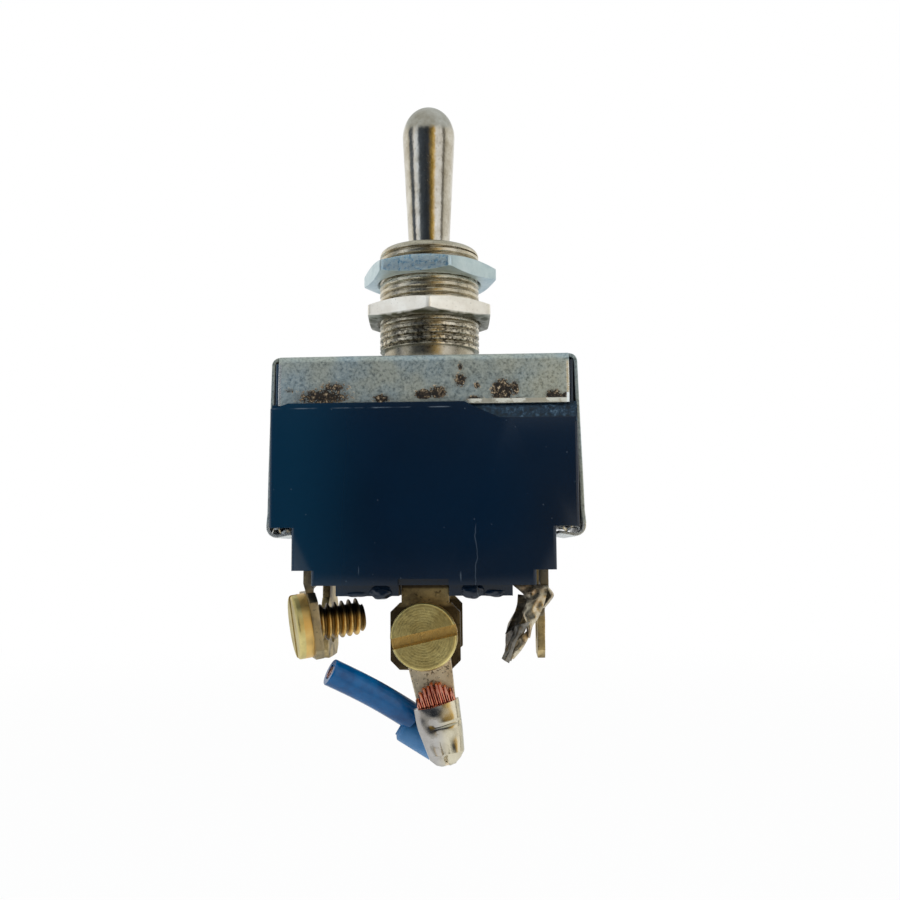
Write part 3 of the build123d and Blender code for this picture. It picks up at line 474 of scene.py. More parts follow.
class SWITCH_OT_nuts(bpy.types.Operator):
    """The two thin hexagon nuts, each with its own plating."""

    bl_idname = "switch.nuts"
    bl_label = "Nuts"

    def execute(self, context):
        colours = context.scene.switch_colours
        # Nickel plate worn pale, with fine upright scratches; greenish grime on the underside
        pale, tree, shader, place, tone = worn_metal(
            "pale nickel plate", colours.lower_nut, srgb("EAE4D8"), 0.36, 0.08, 0.22, 0.35,
            streak=(1, 1, 0.35), speck=0.25, speck_size=0.22,
        )
        shader.inputs["Metallic"].default_value = 0.6
        parts = add(tree, "SeparateXYZ", {"Vector": place})
        under = add(tree, "MapRange", {"Value": parts.outputs["Z"]}, between=(5.95 * MM, 5.66 * MM))
        blot = add(tree, "TexNoise", {"Vector": place, "Scale": per(1.1), "Detail": 5.0})
        grime = add(tree, "MapRange", {"Value": blot, "From Min": 0.38, "From Max": 0.55, "To Min": 0.55})
        amount = add(tree, "Math", {0: under, 1: grime}, operation="MULTIPLY")
        darkened_tone = add(tree, "Mix", {0: amount, 6: tone.outputs[2], 7: srgb("5E5C45")}, data_type="RGBA")
        tree.links.new(darkened_tone.outputs[2], shader.inputs["Base Color"])
        # Zinc plate passivated blue: silky grey-blue, one flat pitted and darker
        blue, tree, shader, place, tone = worn_metal(
            "blue zinc plate", colours.upper_nut, srgb("BBD0D8"), 0.36, 0.08, 0.3, 0.3, speck=0.1,
            speck_size=0.3,
        )
        facing = math.radians(-99.2)
        reach = add(tree, "VectorMath", {0: place, 1: (math.cos(facing), math.sin(facing), 0)},
                    operation="DOT_PRODUCT").outputs["Value"]
        flat = add(tree, "MapRange", {"Value": reach}, between=(7.1 * MM, 7.135 * MM))
        pits = add(tree, "TexNoise", {"Vector": place, "Scale": per(0.45), "Detail": 6.0, "Roughness": 0.75})
        cells = add(tree, "ValToRGB", {"Fac": pits}, ramp=[
            (0.3, srgb("3F7AA4")), (0.4, srgb("90C6E8")), (0.5, srgb("DCF2FC")),
        ])
        pitted = add(tree, "Mix", {0: flat, 6: tone.outputs[2], 7: cells}, data_type="RGBA")
        tree.links.new(pitted.outputs[2], shader.inputs["Base Color"])
        dent = add(tree, "Math", {0: pits, 1: flat}, operation="MULTIPLY")
        old = shader.inputs["Normal"].links[0].from_socket
        deeper = add(tree, "Bump", {"Height": dent, "Strength": 0.7, "Distance": 0.08 * MM, "Normal": old})
        tree.links.new(deeper.outputs[0], shader.inputs["Normal"])
        # Both nuts have one size, and each its own height and turn on the thread
        thickness, bore, flats = 1.95, 5.99, 14.29
        nuts = (("lower", 5.58, -86.5, "pale_nickel", pale), ("upper", 10.4, -69.2, "blue_zinc", blue))
        for which, base, turn, slot, material in nuts:
            band = hexagon_nut(base, thickness, turn, bore, flats)
            piece(f"{which}_hexagon_nut", [(band, True, True)], f"{which}_nut_body", material,
                  (f"{which}_nut",), 24.0)
        return {"FINISHED"}


class SWITCH_OT_cover(bpy.types.Operator):
    """Folded sheet cover with its grainy zinc plate and patches of rust."""

    bl_idname = "switch.cover"
    bl_label = "Cover"

    def execute(self, context):
        sizes, colours = context.scene.switch_sizes, context.scene.switch_colours
        # Zinc plate gone dull: salt-and-pepper grain on grey-blue, with clusters of rust along the skirt's
        # foot
        material, tree, shader, place = finish("dull zinc plate")
        parts = add(tree, "SeparateXYZ", {"Vector": place})
        cloud = add(tree, "TexNoise", {"Vector": place, "Scale": per(4.0), "Detail": 3.0})
        grain = add(tree, "TexNoise", {"Vector": place, "Scale": per(0.3), "Detail": 4.0, "Roughness": 0.7})
        zinc = add(tree, "ValToRGB", {"Fac": cloud}, ramp=[(0.38, colours.cover), (0.62, srgb("BAC2BA"))])
        salt = add(tree, "MapRange", {"Value": grain, "From Min": 0.5, "From Max": 0.68, "To Max": 0.6})
        pepper = add(tree, "MapRange", {"Value": grain, "From Min": 0.5, "From Max": 0.34, "To Max": 0.55})
        paler = add(tree, "Mix", {0: salt, 6: zinc, 7: srgb("CDD3CE")}, data_type="RGBA")
        darker = add(tree, "Mix", {0: pepper, 6: paler, 7: srgb("566268")}, data_type="RGBA")
        # Rust on the front skirt: middle (across, up), half size (wide, tall) in millimetres, and how
        # heavy it is
        patches = (
            (-10.9, -4.6, 3.0, 0.9, 0.75), (-9.7, -3.6, 1.7, 0.7, 0.62), (-14.6, -3.9, 0.5, 0.3, 0.6),
            (-4.5, -4.9, 1.0, 0.5, 0.8), (0.1, -4.5, 0.9, 0.5, 1.1), (1.6, -4.3, 1.0, 0.7, 0.85),
            (4.1, -3.0, 0.7, 0.8, 0.72), (5.9, -3.6, 0.35, 0.35, 0.8), (5.6, -5.1, 0.9, 0.4, 0.8),
            (8.6, -4.3, 1.1, 1.3, 1.0), (10.0, -3.9, 0.5, 0.9, 0.7), (10.4, -5.2, 0.7, 0.3, 0.8),
            (14.2, -4.8, 0.9, 0.7, 0.85), (15.6, -5.0, 0.7, 0.5, 1.0), (4.1, -1.5, 0.3, 0.5, 0.62),
        )
        ragged = add(tree, "TexNoise", {"Vector": place, "Scale": per(0.6), "Detail": 8.0, "Roughness": 0.75})
        flecks = add(tree, "TexNoise", {"Vector": place, "Scale": per(0.3), "Detail": 3.0, "Roughness": 0.7})
        total = 0.0
        for across, up, wide, tall, heavy in patches:
            local = add(tree, "Mapping", {
                "Vector": place, "Location": (-across / wide, 10.9, -up / tall),
                "Scale": (1 / (wide * MM), 1 / MM, 1 / (tall * MM)),
            })
            gap = add(tree, "VectorMath", {0: local}, operation="LENGTH").outputs["Value"]
            near = add(tree, "MapRange", {"Value": gap, "To Max": heavy}, between=(1.9, 0.0))
            total = add(tree, "Math", {0: near, 1: total}, operation="MAXIMUM")
        caked = add(tree, "Math", {0: ragged, 1: 1.7, 2: total}, operation="MULTIPLY_ADD")
        dotted = add(tree, "Math", {0: flecks, 1: 1.5, 2: total}, operation="MULTIPLY_ADD")
        rust = add(tree, "MapRange", {"Value": caked, "From Min": 1.27, "From Max": 1.34})
        dots = add(tree, "MapRange", {"Value": dotted, "From Min": 1.17, "From Max": 1.22})
        worn = add(tree, "Math", {0: rust, 1: dots}, operation="MAXIMUM")
        halo = add(tree, "MapRange", {"Value": total, "From Min": 0.1, "From Max": 0.7, "To Max": 0.55})
        crust = add(tree, "ValToRGB", {"Fac": flecks}, ramp=[
            (0.42, srgb("14110F")), (0.54, srgb("2C241D")), (0.62, srgb("7A6A54")), (0.7, srgb("B9A98E")),
        ])
        stain = add(tree, "Mix", {0: halo, 6: darker, 7: srgb("8F8A7A")}, data_type="RGBA")
        stained = add(tree, "Mix", {0: worn, 6: stain, 7: crust}, data_type="RGBA")
        # The bare foot of the skirt, where the moulding's lip has broken away
        foot = add(tree, "MapRange", {"Value": parts.outputs["Z"]}, between=(-4.98 * MM, -5.08 * MM))
        bared = add(tree, "MapRange", {"Value": parts.outputs["X"]}, between=(4.6 * MM, 5.4 * MM))
        skirt = add(tree, "MapRange", {"Value": parts.outputs["Y"]}, between=(-10.1 * MM, -10.3 * MM))
        strip = add(tree, "Math", {0: foot, 1: bared}, operation="MULTIPLY")
        edge = add(tree, "Math", {0: strip, 1: skirt}, operation="MULTIPLY")
        bright = add(tree, "Mix", {0: edge, 6: stained, 7: srgb("C9C8BC")}, data_type="RGBA")
        # Rubbed bright: the skirt's two ends and the hooks
        side = add(tree, "Math", {0: parts.outputs["X"]}, operation="ABSOLUTE")
        from_end = add(tree, "MapRange", {"Value": side}, between=(15.5 * MM, 15.65 * MM))
        to_end = add(tree, "MapRange", {"Value": side}, between=(15.95 * MM, 15.88 * MM))
        ends = add(tree, "Math", {0: from_end, 1: to_end}, operation="MULTIPLY")
        under = add(tree, "MapRange", {"Value": parts.outputs["Z"]}, between=(-0.8 * MM, -1.2 * MM))
        end_foot = add(tree, "Math", {0: ends, 1: under}, operation="MULTIPLY")
        end = add(tree, "Math", {0: end_foot, 1: skirt}, operation="MULTIPLY")
        hook = add(tree, "MapRange", {"Value": parts.outputs["Z"]}, between=(-18.0 * MM, -18.8 * MM))
        rubbed = add(tree, "Math", {0: end, 1: hook}, operation="MAXIMUM")
        edged = add(tree, "Mix", {0: rubbed, 6: bright.outputs[2], 7: srgb("E6EAE8")}, data_type="RGBA")
        tree.links.new(edged.outputs[2], shader.inputs["Base Color"])
        plate = add(tree, "MapRange", {"Value": worn, "To Min": 0.8, "To Max": 0.0})
        tree.links.new(plate.outputs[0], shader.inputs["Metallic"])
        rough = add(tree, "MapRange", {"Value": grain, "From Min": 0.3, "From Max": 0.7, "To Min": 0.36,
                                                 "To Max": 0.56})
        rougher = add(tree, "Math", {0: worn, 1: 0.4, 2: rough}, operation="MULTIPLY_ADD")
        sleeker = add(tree, "Math", {0: rubbed, 1: -0.2, 2: rougher}, operation="MULTIPLY_ADD")
        tree.links.new(sleeker.outputs[0], shader.inputs["Roughness"])
        bump = add(tree, "Bump", {"Height": grain, "Strength": 0.5, "Distance": 0.03 * MM})
        tree.links.new(bump.outputs[0], shader.inputs["Normal"])
        softened("sheet_cover", "cover", sizes.edge_wear / MM, "base", material,
                 wave=0.03, wave_size=7.0, seed=4, cuts=3)
        # The strap's ends are crumpled inside both hooks
        folds = {
            "left": ((-16.6, -19.4), (-16.4, -18.95), (-15.95, -18.85), (-15.6, -19.35), (-15.15, -19.2),
                     (-14.65, -19.3)),
            "right": ((16.75, -19.1), (16.3, -18.8), (15.8, -18.95), (15.4, -19.25), (14.95, -19.0),
                      (14.55, -18.95)),
        }
        for seed, (side, line) in enumerate(folds.items()):
            near = [(x, -9.87 + 0.08 * (k % 2), z) for k, (x, z) in enumerate(line)]
            far = [(x, -8.6, z) for x, z in line]
            curl = scrap(near, far, (0, 0, 1), 0.3, 0.12, 0.8, seed + 21, 60, 8)
            piece(f"crumpled_tab_{side}", [(curl, False, True)], "base", material, (), 40.0)
        return {"FINISHED"}


class SWITCH_OT_case(bpy.types.Operator):
    """Moulded case with its broken lip, and the varnish lumps on its feet."""

    bl_idname = "switch.case"
    bl_label = "Case"

    def execute(self, context):
        sizes, colours = context.scene.switch_sizes, context.scene.switch_colours
        # Phenolic moulding: satin navy skin, a few hair scratches, dust, one crack, and a dull grainy break;
        # painted light on its left part and a painted highlight along the lip's edge
        material, tree, shader, place = finish("satin phenolic moulding", Metallic=0.0, IOR=1.5)
        parts = add(tree, "SeparateXYZ", {"Vector": place})
        cloud = add(tree, "TexNoise", {"Vector": place, "Scale": per(16.0), "Detail": 3.0})
        # Painted light: the case's left part is lighter and more teal
        left = add(tree, "MapRange", {"Value": parts.outputs["X"]}, between=(-4.0 * MM, -15.0 * MM))
        skin = add(tree, "ValToRGB", {"Fac": cloud}, ramp=[(0.35, colours.case), (0.65, srgb("001224"))])
        painted_light_left = add(tree, "Mix", {0: left, 6: skin, 7: srgb("00263C")}, data_type="RGBA")
        lean = add(tree, "Mapping", {"Vector": place, "Rotation": (0, 0.6, 0), "Scale": (1, 1, 0.12)})
        hair = add(tree, "TexNoise", {"Vector": lean, "Scale": per(0.7), "Detail": 1.0})
        scratch = add(tree, "MapRange", {"Value": hair, "From Min": 0.8, "From Max": 0.83, "To Max": 0.35})
        motes = add(tree, "TexVoronoi", {"Vector": place, "Scale": per(1.6)})
        dust = add(tree, "MapRange", {"Value": motes, "From Min": 0.06, "From Max": 0.03, "To Max": 0.16})
        marks = add(tree, "Math", {0: scratch, 1: dust}, operation="MAXIMUM")
        # The crack runs down the lower block, a little crooked
        crook = add(tree, "TexNoise", {"Vector": place, "Scale": per(2.4), "Detail": 4.0})
        wander = add(tree, "Math", {0: crook, 1: 1.1 * MM, 2: parts.outputs["X"]}, operation="MULTIPLY_ADD")
        off = add(tree, "Math", {0: wander, 1: 6.25 * MM}, operation="SUBTRACT")
        apart = add(tree, "Math", {0: off}, operation="ABSOLUTE")
        line = add(tree, "MapRange", {"Value": apart}, between=(0.07 * MM, 0.02 * MM))
        below = add(tree, "MapRange", {"Value": parts.outputs["Z"]}, between=(-18.4 * MM, -19.0 * MM))
        crack = add(tree, "Math", {0: line, 1: below}, operation="MULTIPLY")
        faint = add(tree, "Math", {0: crack, 1: 0.15}, operation="MULTIPLY")
        # A painted highlight lies in patches along the lip's edge
        rim = add(tree, "Math", {0: parts.outputs["Z"], 1: 5.95 * MM}, operation="ADD")
        rim_gap = add(tree, "Math", {0: rim}, operation="ABSOLUTE")
        rim_line = add(tree, "MapRange", {"Value": rim_gap}, between=(0.09 * MM, 0.02 * MM))
        patchy = add(tree, "MapRange", {"Value": crook, "From Min": 0.42, "From Max": 0.62, "To Max": 0.4})
        painted_lip_highlight = add(tree, "Math", {0: rim_line, 1: patchy}, operation="MULTIPLY")
        either = add(tree, "Math", {0: painted_lip_highlight, 1: faint}, operation="MAXIMUM")
        marked = add(tree, "Math", {0: marks, 1: either}, operation="MAXIMUM")
        skinned = add(tree, "Mix", {0: marked, 6: painted_light_left, 7: srgb("7F8C97")}, data_type="RGBA")
        # Where the lip broke off: behind the front face, below the skirt, to the right
        grit = add(tree, "TexNoise", {"Vector": place, "Scale": per(0.5), "Detail": 6.0, "Roughness": 0.75})
        torn = add(tree, "ValToRGB", {"Fac": grit}, ramp=[
            (0.4, srgb("04141F")), (0.54, srgb("0F2A3E")), (0.68, srgb("4A6478")),
        ])
        behind = add(tree, "MapRange", {"Value": parts.outputs["Y"]}, between=(-11.49 * MM, -11.44 * MM))
        front = add(tree, "MapRange", {"Value": parts.outputs["Y"]}, between=(-10.0 * MM, -10.3 * MM))
        upper = add(tree, "MapRange", {"Value": parts.outputs["Z"]}, between=(-7.8 * MM, -7.6 * MM))
        right = add(tree, "MapRange", {"Value": parts.outputs["X"]}, between=(4.0 * MM, 4.6 * MM))
        level = add(tree, "MapRange", {"Value": parts.outputs["Z"]}, between=(-5.3 * MM, -5.5 * MM))
        broken = add(tree, "Math", {0: behind, 1: front}, operation="MULTIPLY")
        for mask in (upper, right, level):
            broken = add(tree, "Math", {0: broken, 1: mask}, operation="MULTIPLY")
        whole = add(tree, "Mix", {0: broken, 6: skinned, 7: torn}, data_type="RGBA")
        tree.links.new(whole.outputs[2], shader.inputs["Base Color"])
        fine = add(tree, "TexNoise", {"Vector": place, "Scale": per(0.2), "Detail": 4.0})
        rough = add(tree, "MapRange", {"Value": fine, "To Min": 0.18, "To Max": 0.28})
        duller = add(tree, "Math", {0: broken, 1: 0.4, 2: rough}, operation="MULTIPLY_ADD")
        tree.links.new(duller.outputs[0], shader.inputs["Roughness"])
        bump = add(tree, "Bump", {"Height": fine, "Strength": 0.12, "Distance": 0.03 * MM})
        rubble = add(tree, "Math", {0: grit, 1: broken}, operation="MULTIPLY")
        rubbled = add(tree, "Bump", {
            "Height": rubble, "Strength": 0.8, "Distance": 0.25 * MM, "Normal": bump,
        })
        tree.links.new(rubbled.outputs[0], shader.inputs["Normal"])
        softened("moulded_case", "housing", sizes.edge_wear / MM, "base", material)
        # Lumps of flash and varnish on the barriers' feet: rippled ellipsoids, (middle, half sizes)
        lumps = (((-4.6, -10.25, -25.75), (1.3, 0.62, 0.8)), ((5.2, -10.25, -25.65), (1.35, 0.62, 0.85)),
                 ((7.6, -10.2, -25.9), (1.3, 0.55, 0.45)), ((-7.2, -10.2, -26.0), (1.5, 0.5, 0.3)))
        turn = np.linspace(0, ROUND, 48, endpoint=False)
        rise = np.linspace(-math.pi / 2, math.pi / 2, 26)[:, None]
        grids = []
        for seed, (centre, half) in enumerate(lumps):
            ball = np.stack([np.cos(rise) * np.cos(turn), np.cos(rise) * np.sin(turn),
                             np.sin(rise) + 0 * turn], axis=2)
            ball = ball * (1 + 0.13 * ripple(ball, 0.9, seed + 70))[:, :, None]
            grids.append((np.array(centre) + ball * half, False, True))
        piece("varnish_lumps", grids, "base", material, (), 60.0)
        return {"FINISHED"}


class SWITCH_OT_inside(bpy.types.Operator):
    """Finishes of the pieces inside the case, which keep their CAD shapes, and the two springs."""

    bl_idname = "switch.inside"
    bl_label = "Inside"

    def execute(self, context):
        # Pressed fibre, brown phenolic, white nylon, rolled copper, silver and drawn steel, each plain and
        # clean
        plain = (
            ("pressed fibre", {"Roughness": 0.8}, 0.3, 5.0, "5A4A34", "8C7755"),
            ("brown phenolic", {"Roughness": 0.45}, 1.5, 4.0, "2A1C14", "3D2A1E"),
            ("white nylon", {"Roughness": 0.4, "IOR": 1.53}, 1.0, 3.0, "D8D2C0", "E9E5D8"),
        )
        skins = []
        for name, sockets, size, detail, dark, light in plain:
            material, tree, shader, place = finish(name, **sockets)
            cloud = add(tree, "TexNoise", {"Vector": place, "Scale": per(size), "Detail": detail})
            tone = add(tree, "ValToRGB", {"Fac": cloud}, ramp=[(0.3, srgb(dark)), (0.7, srgb(light))])
            tree.links.new(tone.outputs[0], shader.inputs["Base Color"])
            skins.append(material)
        fibre, brown, nylon = skins
        copper = worn_metal("rolled copper", srgb("C98562"), srgb("A0603F"), 0.3, 0.08, 0.3, 0.2)[0]
        silver = worn_metal("contact silver", srgb("D9D9D5"), srgb("B0AFA8"), 0.28, 0.08, 0.3, 0.2)[0]
        steel = worn_metal("drawn steel", srgb("B9B9B6"), srgb("8E8E8A"), 0.3, 0.08, 0.2, 0.2)[0]
        wearing = {
            "liner": fibre, "actuator": brown, "plunger_front": nylon, "plunger_rear": nylon,
            "rocker_front": copper, "rocker_rear": copper, "pivot_pin": steel,
        }
        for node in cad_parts:
            if "contact" in node:
                wearing[node] = silver
        for node, material in wearing.items():
            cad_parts[node].data.materials[0] = material
        for pole, side in (("front", -1), ("rear", 1)):
            turn = np.linspace(0, 4.6, 150)
            rise = np.clip((turn - 0.3) / 4.0, 0, 1)
            path = np.stack([
                1.1 * np.cos(turn * ROUND), side * 5.35 + 1.1 * np.sin(turn * ROUND), -6.38 + 2.76 * rise,
            ], axis=1)
            spring = piece(f"coil_spring_{pole}", [(capped(tube(path, 0.19, 10)), False, True)], "lever_body",
                           steel, (f"spring_{pole}",), 60.0)
            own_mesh(spring)
        return {"FINISHED"}


class SWITCH_OT_terminals(bpy.types.Operator):
    """The six screw terminals of tarnished brass strip."""

    bl_idname = "switch.terminals"
    bl_label = "Terminals"

    def execute(self, context):
        colours = context.scene.switch_colours
        # Brass strip tarnished dark on its faces, with gold showing at rubbed places; painted shade makes
        # the centre terminals' plates and tops nearly black
        material, tree, shader, place, tone = worn_metal(
            "tarnished brass strip", colours.terminal, srgb("6A5C46"), 0.44, 0.1, 0.3, 0.6, speck=0.5,
            speck_size=0.5,
        )
        parts = add(tree, "SeparateXYZ", {"Vector": place})
        # Painted shade: the centre terminals' plates and tops are darkened towards near black
        side = add(tree, "Math", {0: parts.outputs["X"]}, operation="ABSOLUTE")
        inner = add(tree, "MapRange", {"Value": side}, between=(7.0 * MM, 6.5 * MM))
        plate = add(tree, "MapRange", {"Value": parts.outputs["Z"]}, between=(-27.1 * MM, -27.6 * MM))
        top = add(tree, "MapRange", {"Value": parts.outputs["Z"]}, between=(-25.6 * MM, -25.3 * MM))
        both = add(tree, "Math", {0: plate, 1: top}, operation="MAXIMUM")
        dusk = add(tree, "Math", {0: both, 1: inner}, operation="MULTIPLY")
        shade = add(tree, "Math", {0: dusk, 1: 0.85}, operation="MULTIPLY")
        darker = add(tree, "Mix", {0: shade, 6: tone.outputs[2], 7: srgb("33291F")}, data_type="RGBA")
        # The two front end terminals are bruised grey
        outside = add(tree, "MapRange", {"Value": side}, between=(7.0 * MM, 7.6 * MM))
        front = add(tree, "MapRange", {"Value": parts.outputs["Y"]}, between=(-3.0 * MM, -5.0 * MM))
        knocked = add(tree, "Math", {0: outside, 1: front}, operation="MULTIPLY")
        right = add(tree, "MapRange", {"Value": parts.outputs["X"]}, between=(0.0, 1.0 * MM))
        amount = add(tree, "MapRange", {"Value": right, "To Min": 0.5, "To Max": 0.85})
        share = add(tree, "Math", {0: knocked, 1: amount}, operation="MULTIPLY")
        bruise = add(tree, "Mix", {0: share, 6: darker.outputs[2], 7: srgb("77736B")}, data_type="RGBA")
        tree.links.new(bruise.outputs[2], shader.inputs["Base Color"])
        names = [f"terminal_{place_name}_{pole}" for place_name in ("centre", "left", "right")
                 for pole in ("front", "rear")]
        for seed, node in enumerate(names):
            softened(node.replace("terminal", "strip"), node, 0.07, "base", material,
                     wave=0.03, wave_size=2.5, seed=seed, cuts=2)
        # The torn terminal's leaves, as (left edge, right edge, bow); the metal is paler where it has been
        # stretched
        stretched = worn_metal("stretched brass strip", srgb("CFC4AC"), srgb("8C6A48"), 0.34, 0.1, 0.3, 0.6,
                               speck=0.45,
                               speck_size=0.5)[0]
        bruised = worn_metal("bruised brass strip", srgb("8A867E"), srgb("45423E"), 0.36, 0.1, 0.3, 0.8,
                             streak=(1, 1, 3), speck=0.4, speck_size=0.5)[0]
        leaves = {
            "torn_web": (
                ((9.45, -8.7, -25.1), (10.7, -9.0, -26.18), (10.98, -9.3, -26.75), (10.75, -9.5, -27.47),
                 (10.5, -9.6, -28.04), (10.8, -9.6, -29.0), (11.0, -9.5, -30.6)),
                ((13.31, -8.7, -25.18), (13.16, -9.2, -26.04), (12.77, -9.5, -27.33), (12.18, -9.7, -28.62),
                 (11.59, -9.7, -29.47), (11.28, -9.6, -30.75)), 0.25, stretched),
            "torn_band": (
                ((9.71, -9.9, -29.43), (9.48, -9.9, -30.14), (8.97, -9.9, -31.21), (8.23, -9.9, -32.84)),
                ((11.37, -9.9, -28.94), (10.42, -9.9, -30.22), (9.91, -9.9, -30.86), (9.01, -9.9, -33.33)),
                0.2, bruised),
            "torn_leaf": (
                ((11.02, -9.4, -29.93), (9.92, -9.4, -31.07), (9.2, -9.4, -32.8)),
                ((11.25, -9.4, -30.5), (10.5, -9.4, -31.8), (9.5, -9.4, -32.99)), 0.1, stretched),
            "torn_back": (
                ((10.08, -7.4, -26.2), (9.84, -7.4, -27.73), (8.63, -7.4, -30.5)),
                ((11.4, -7.4, -26.4), (11.23, -7.4, -28.17), (9.5, -7.4, -30.0)), -0.2, bruised),
            "torn_curl": (
                ((13.1, -9.3, -25.4), (13.45, -9.5, -25.9), (13.5, -9.5, -26.33), (13.1, -9.5, -26.9),
                 (12.6, -9.5, -27.5)),
                ((13.4, -8.9, -25.4), (13.8, -9.0, -25.9), (13.9, -9.0, -26.33), (13.45, -9.0, -27.0),
                 (12.9, -9.1, -27.6)), 0.3, stretched),
        }
        for seed, (name, (left, right, bow, skin)) in enumerate(leaves.items()):
            leaf = scrap(left, right, (0, -1, 0), 0.3, 0.12, 1.1, seed + 40, 60, 12, bow)
            piece(name, [(leaf, False, True)], "base", skin, (), 40.0)
        return {"FINISHED"}


def slotted_head(radius, height, slot, depth, edge):
    """Slotted screw head: rows step across the slot, columns run along it and down both sides and underneath.

    The height falls off in a quarter circle at the rim, and is the slot's floor between the slot's sides.
    """
    half = slot / 2
    outer = radius * np.cos(np.linspace(0, math.acos(half / radius), 26))
    rows = np.concatenate([-outer, [-half + 0.03], np.linspace(-half + 0.04, half - 0.04, 4), [half - 0.03],
                           outer[::-1]])
    in_slot = np.abs(rows) < half - 0.01
    chord = np.sqrt(np.maximum(radius ** 2 - rows ** 2, 0))[:, None]
    t = np.sin(np.linspace(-math.pi / 2, math.pi / 2, 45))[None, :]
    x = chord * t
    away = np.sqrt(x ** 2 + rows[:, None] ** 2)
    inset = np.clip(away - (radius - edge), 0, edge)
    top = height - edge + np.sqrt(edge ** 2 - inset ** 2)
    top = np.where(in_slot[:, None], height - depth, top)
    under = np.linspace(1, -1, 9)[None, :] * chord
    x = np.concatenate([x, under], axis=1)
    z = np.concatenate([top, np.zeros_like(under)], axis=1)
    return np.stack([x, np.broadcast_to(rows[:, None], x.shape), z], axis=2)


def screw_shank(radius, reach, pitch, depth):
    """Threaded shank down from the head: a helical groove in a cylinder, pointed a little at its end."""
    down = np.linspace(-0.3, reach, 130)
    angle = np.linspace(0, ROUND, 48, endpoint=False)
    taper = np.clip((reach - down) / 0.55, 0, 1)
    cut = groove(angle[None, :], down[:, None], pitch, depth, 0.12, 0.12) * np.clip((down + 0.1) / 0.5, 0,
                                                                                    1)[:, None]
    radii = (radius - cut) * (0.72 + 0.28 * taper)[:, None]
    grid = np.stack([radii * np.cos(angle), radii * np.sin(angle), -down[:, None] + 0 * angle], axis=2)
    return capped(grid)


class SWITCH_OT_screws(bpy.types.Operator):
    """The three terminal screws: slotted heads with turning marks, and threaded shanks."""

    bl_idname = "switch.screws"
    bl_label = "Screws"

    def execute(self, context):
        sizes, colours = context.scene.switch_sizes, context.scene.switch_colours
        lean, tilt, swing = math.radians(12.6), math.radians(8.4), math.radians(20.0)
        pad = np.array([math.cos(tilt) * math.cos(swing), math.cos(tilt) * math.sin(swing), math.sin(tilt)])
        pad_x = np.array([-math.sin(swing), math.cos(swing), 0])
        seats = {
            "screw_centre_front": ((0, -9.6, -30.5), (math.cos(lean), 0, math.sin(lean)), (0, -1, 0)),
            "screw_centre_rear": ((-0.42, 8.7, -30.5), (-1, 0, 0), (0, 1, 0)),
            "screw_left_front": ((-13.37, -6.03, -29.57), np.cross(pad, pad_x), -pad),
        }
        for node, (seat, along, out) in seats.items():
            along, out = unit(along), unit(out)
            # Brass screw gone olive, turning rings on the head's face, the slot's floor rubbed gold
            material, tree, shader, place, tone = worn_metal(
                f"olive brass {node}", colours.screw, srgb("C2AF70"), 0.42, 0.08, 0.3, 0.3, speck=0.2,
                speck_size=0.5,
            )
            from_seat = add(tree, "VectorMath", {0: place, 1: tuple(np.array(seat) * MM)},
                            operation="SUBTRACT")
            lift = add(tree, "VectorMath", {0: from_seat, 1: tuple(out)},
                       operation="DOT_PRODUCT").outputs["Value"]
            off = add(tree, "VectorMath", {0: from_seat, 1: tuple(out)}, operation="CROSS_PRODUCT")
            away = add(tree, "VectorMath", {0: off}, operation="LENGTH").outputs["Value"]
            rings = add(tree, "Math", {0: away, 1: ROUND * per(0.28)}, operation="MULTIPLY")
            wave = add(tree, "Math", {0: rings}, operation="SINE")
            slot_floor = add(tree, "MapRange", {"Value": lift}, between=(0.95 * MM, 0.8 * MM))
            gold = add(tree, "Mix", {0: slot_floor, 6: tone.outputs[2], 7: colours.slot},
                       data_type="RGBA")
            # Painted shade in the roots of the shank's thread
            root = add(tree, "MapRange", {"Value": away}, between=(1.85 * MM, 1.56 * MM))
            below = add(tree, "MapRange", {"Value": lift}, between=(-0.05 * MM, -0.15 * MM))
            half = add(tree, "Math", {0: root, 1: 0.75}, operation="MULTIPLY")
            darkening = add(tree, "Math", {0: half, 1: below}, operation="MULTIPLY")
            darkened_tone = add(tree, "Mix", {0: darkening, 6: gold.outputs[2], 7: srgb("3A2810")}, data_type="RGBA")
            # Painted shade: the shank is darkened nearly black above and below, and stays gold between
            parts = add(tree, "SeparateXYZ", {"Vector": from_seat})
            height = add(tree, "Math", {0: parts.outputs["Z"]}, operation="ABSOLUTE")
            outer = add(tree, "MapRange", {"Value": height}, between=(0.8 * MM, 1.7 * MM))
            dusk = add(tree, "Math", {0: outer, 1: below}, operation="MULTIPLY")
            shade = add(tree, "Math", {0: dusk, 1: 0.85}, operation="MULTIPLY")
            darker = add(tree, "Mix", {0: shade, 6: darkened_tone.outputs[2], 7: srgb("2A2A30")}, data_type="RGBA")
            tree.links.new(darker.outputs[2], shader.inputs["Base Color"])
            old = shader.inputs["Normal"].links[0].from_socket
            ringed = add(tree, "Bump", {"Height": wave, "Strength": 0.12, "Distance": 0.02 * MM,
                                                  "Normal": old})
            tree.links.new(ringed.outputs[0], shader.inputs["Normal"])
            head = slotted_head(radius=3.58, height=1.6, slot=1.15, depth=0.9, edge=0.3)
            shank = screw_shank(radius=2.05, reach=6.35, pitch=sizes.screw_pitch / MM,
                                depth=sizes.screw_groove / MM)
            axes = (along, np.cross(out, along), out)
            piece(node.replace("screw", "slotted_screw"),
                  [(placed(head, seat, *axes), False, True), (placed(shank, seat, *axes), False, True)],
                  f"{node}_body", material, (node,), 35.0)
        return {"FINISHED"}


LUG_ORIGIN = (0, -8.7, -30.5)
LUG_TILT = math.radians(10.0)
LUG_AXES = ((math.cos(LUG_TILT), 0, math.sin(LUG_TILT)), (-math.sin(LUG_TILT), 0, math.cos(LUG_TILT)),
            (0, -1, 0))


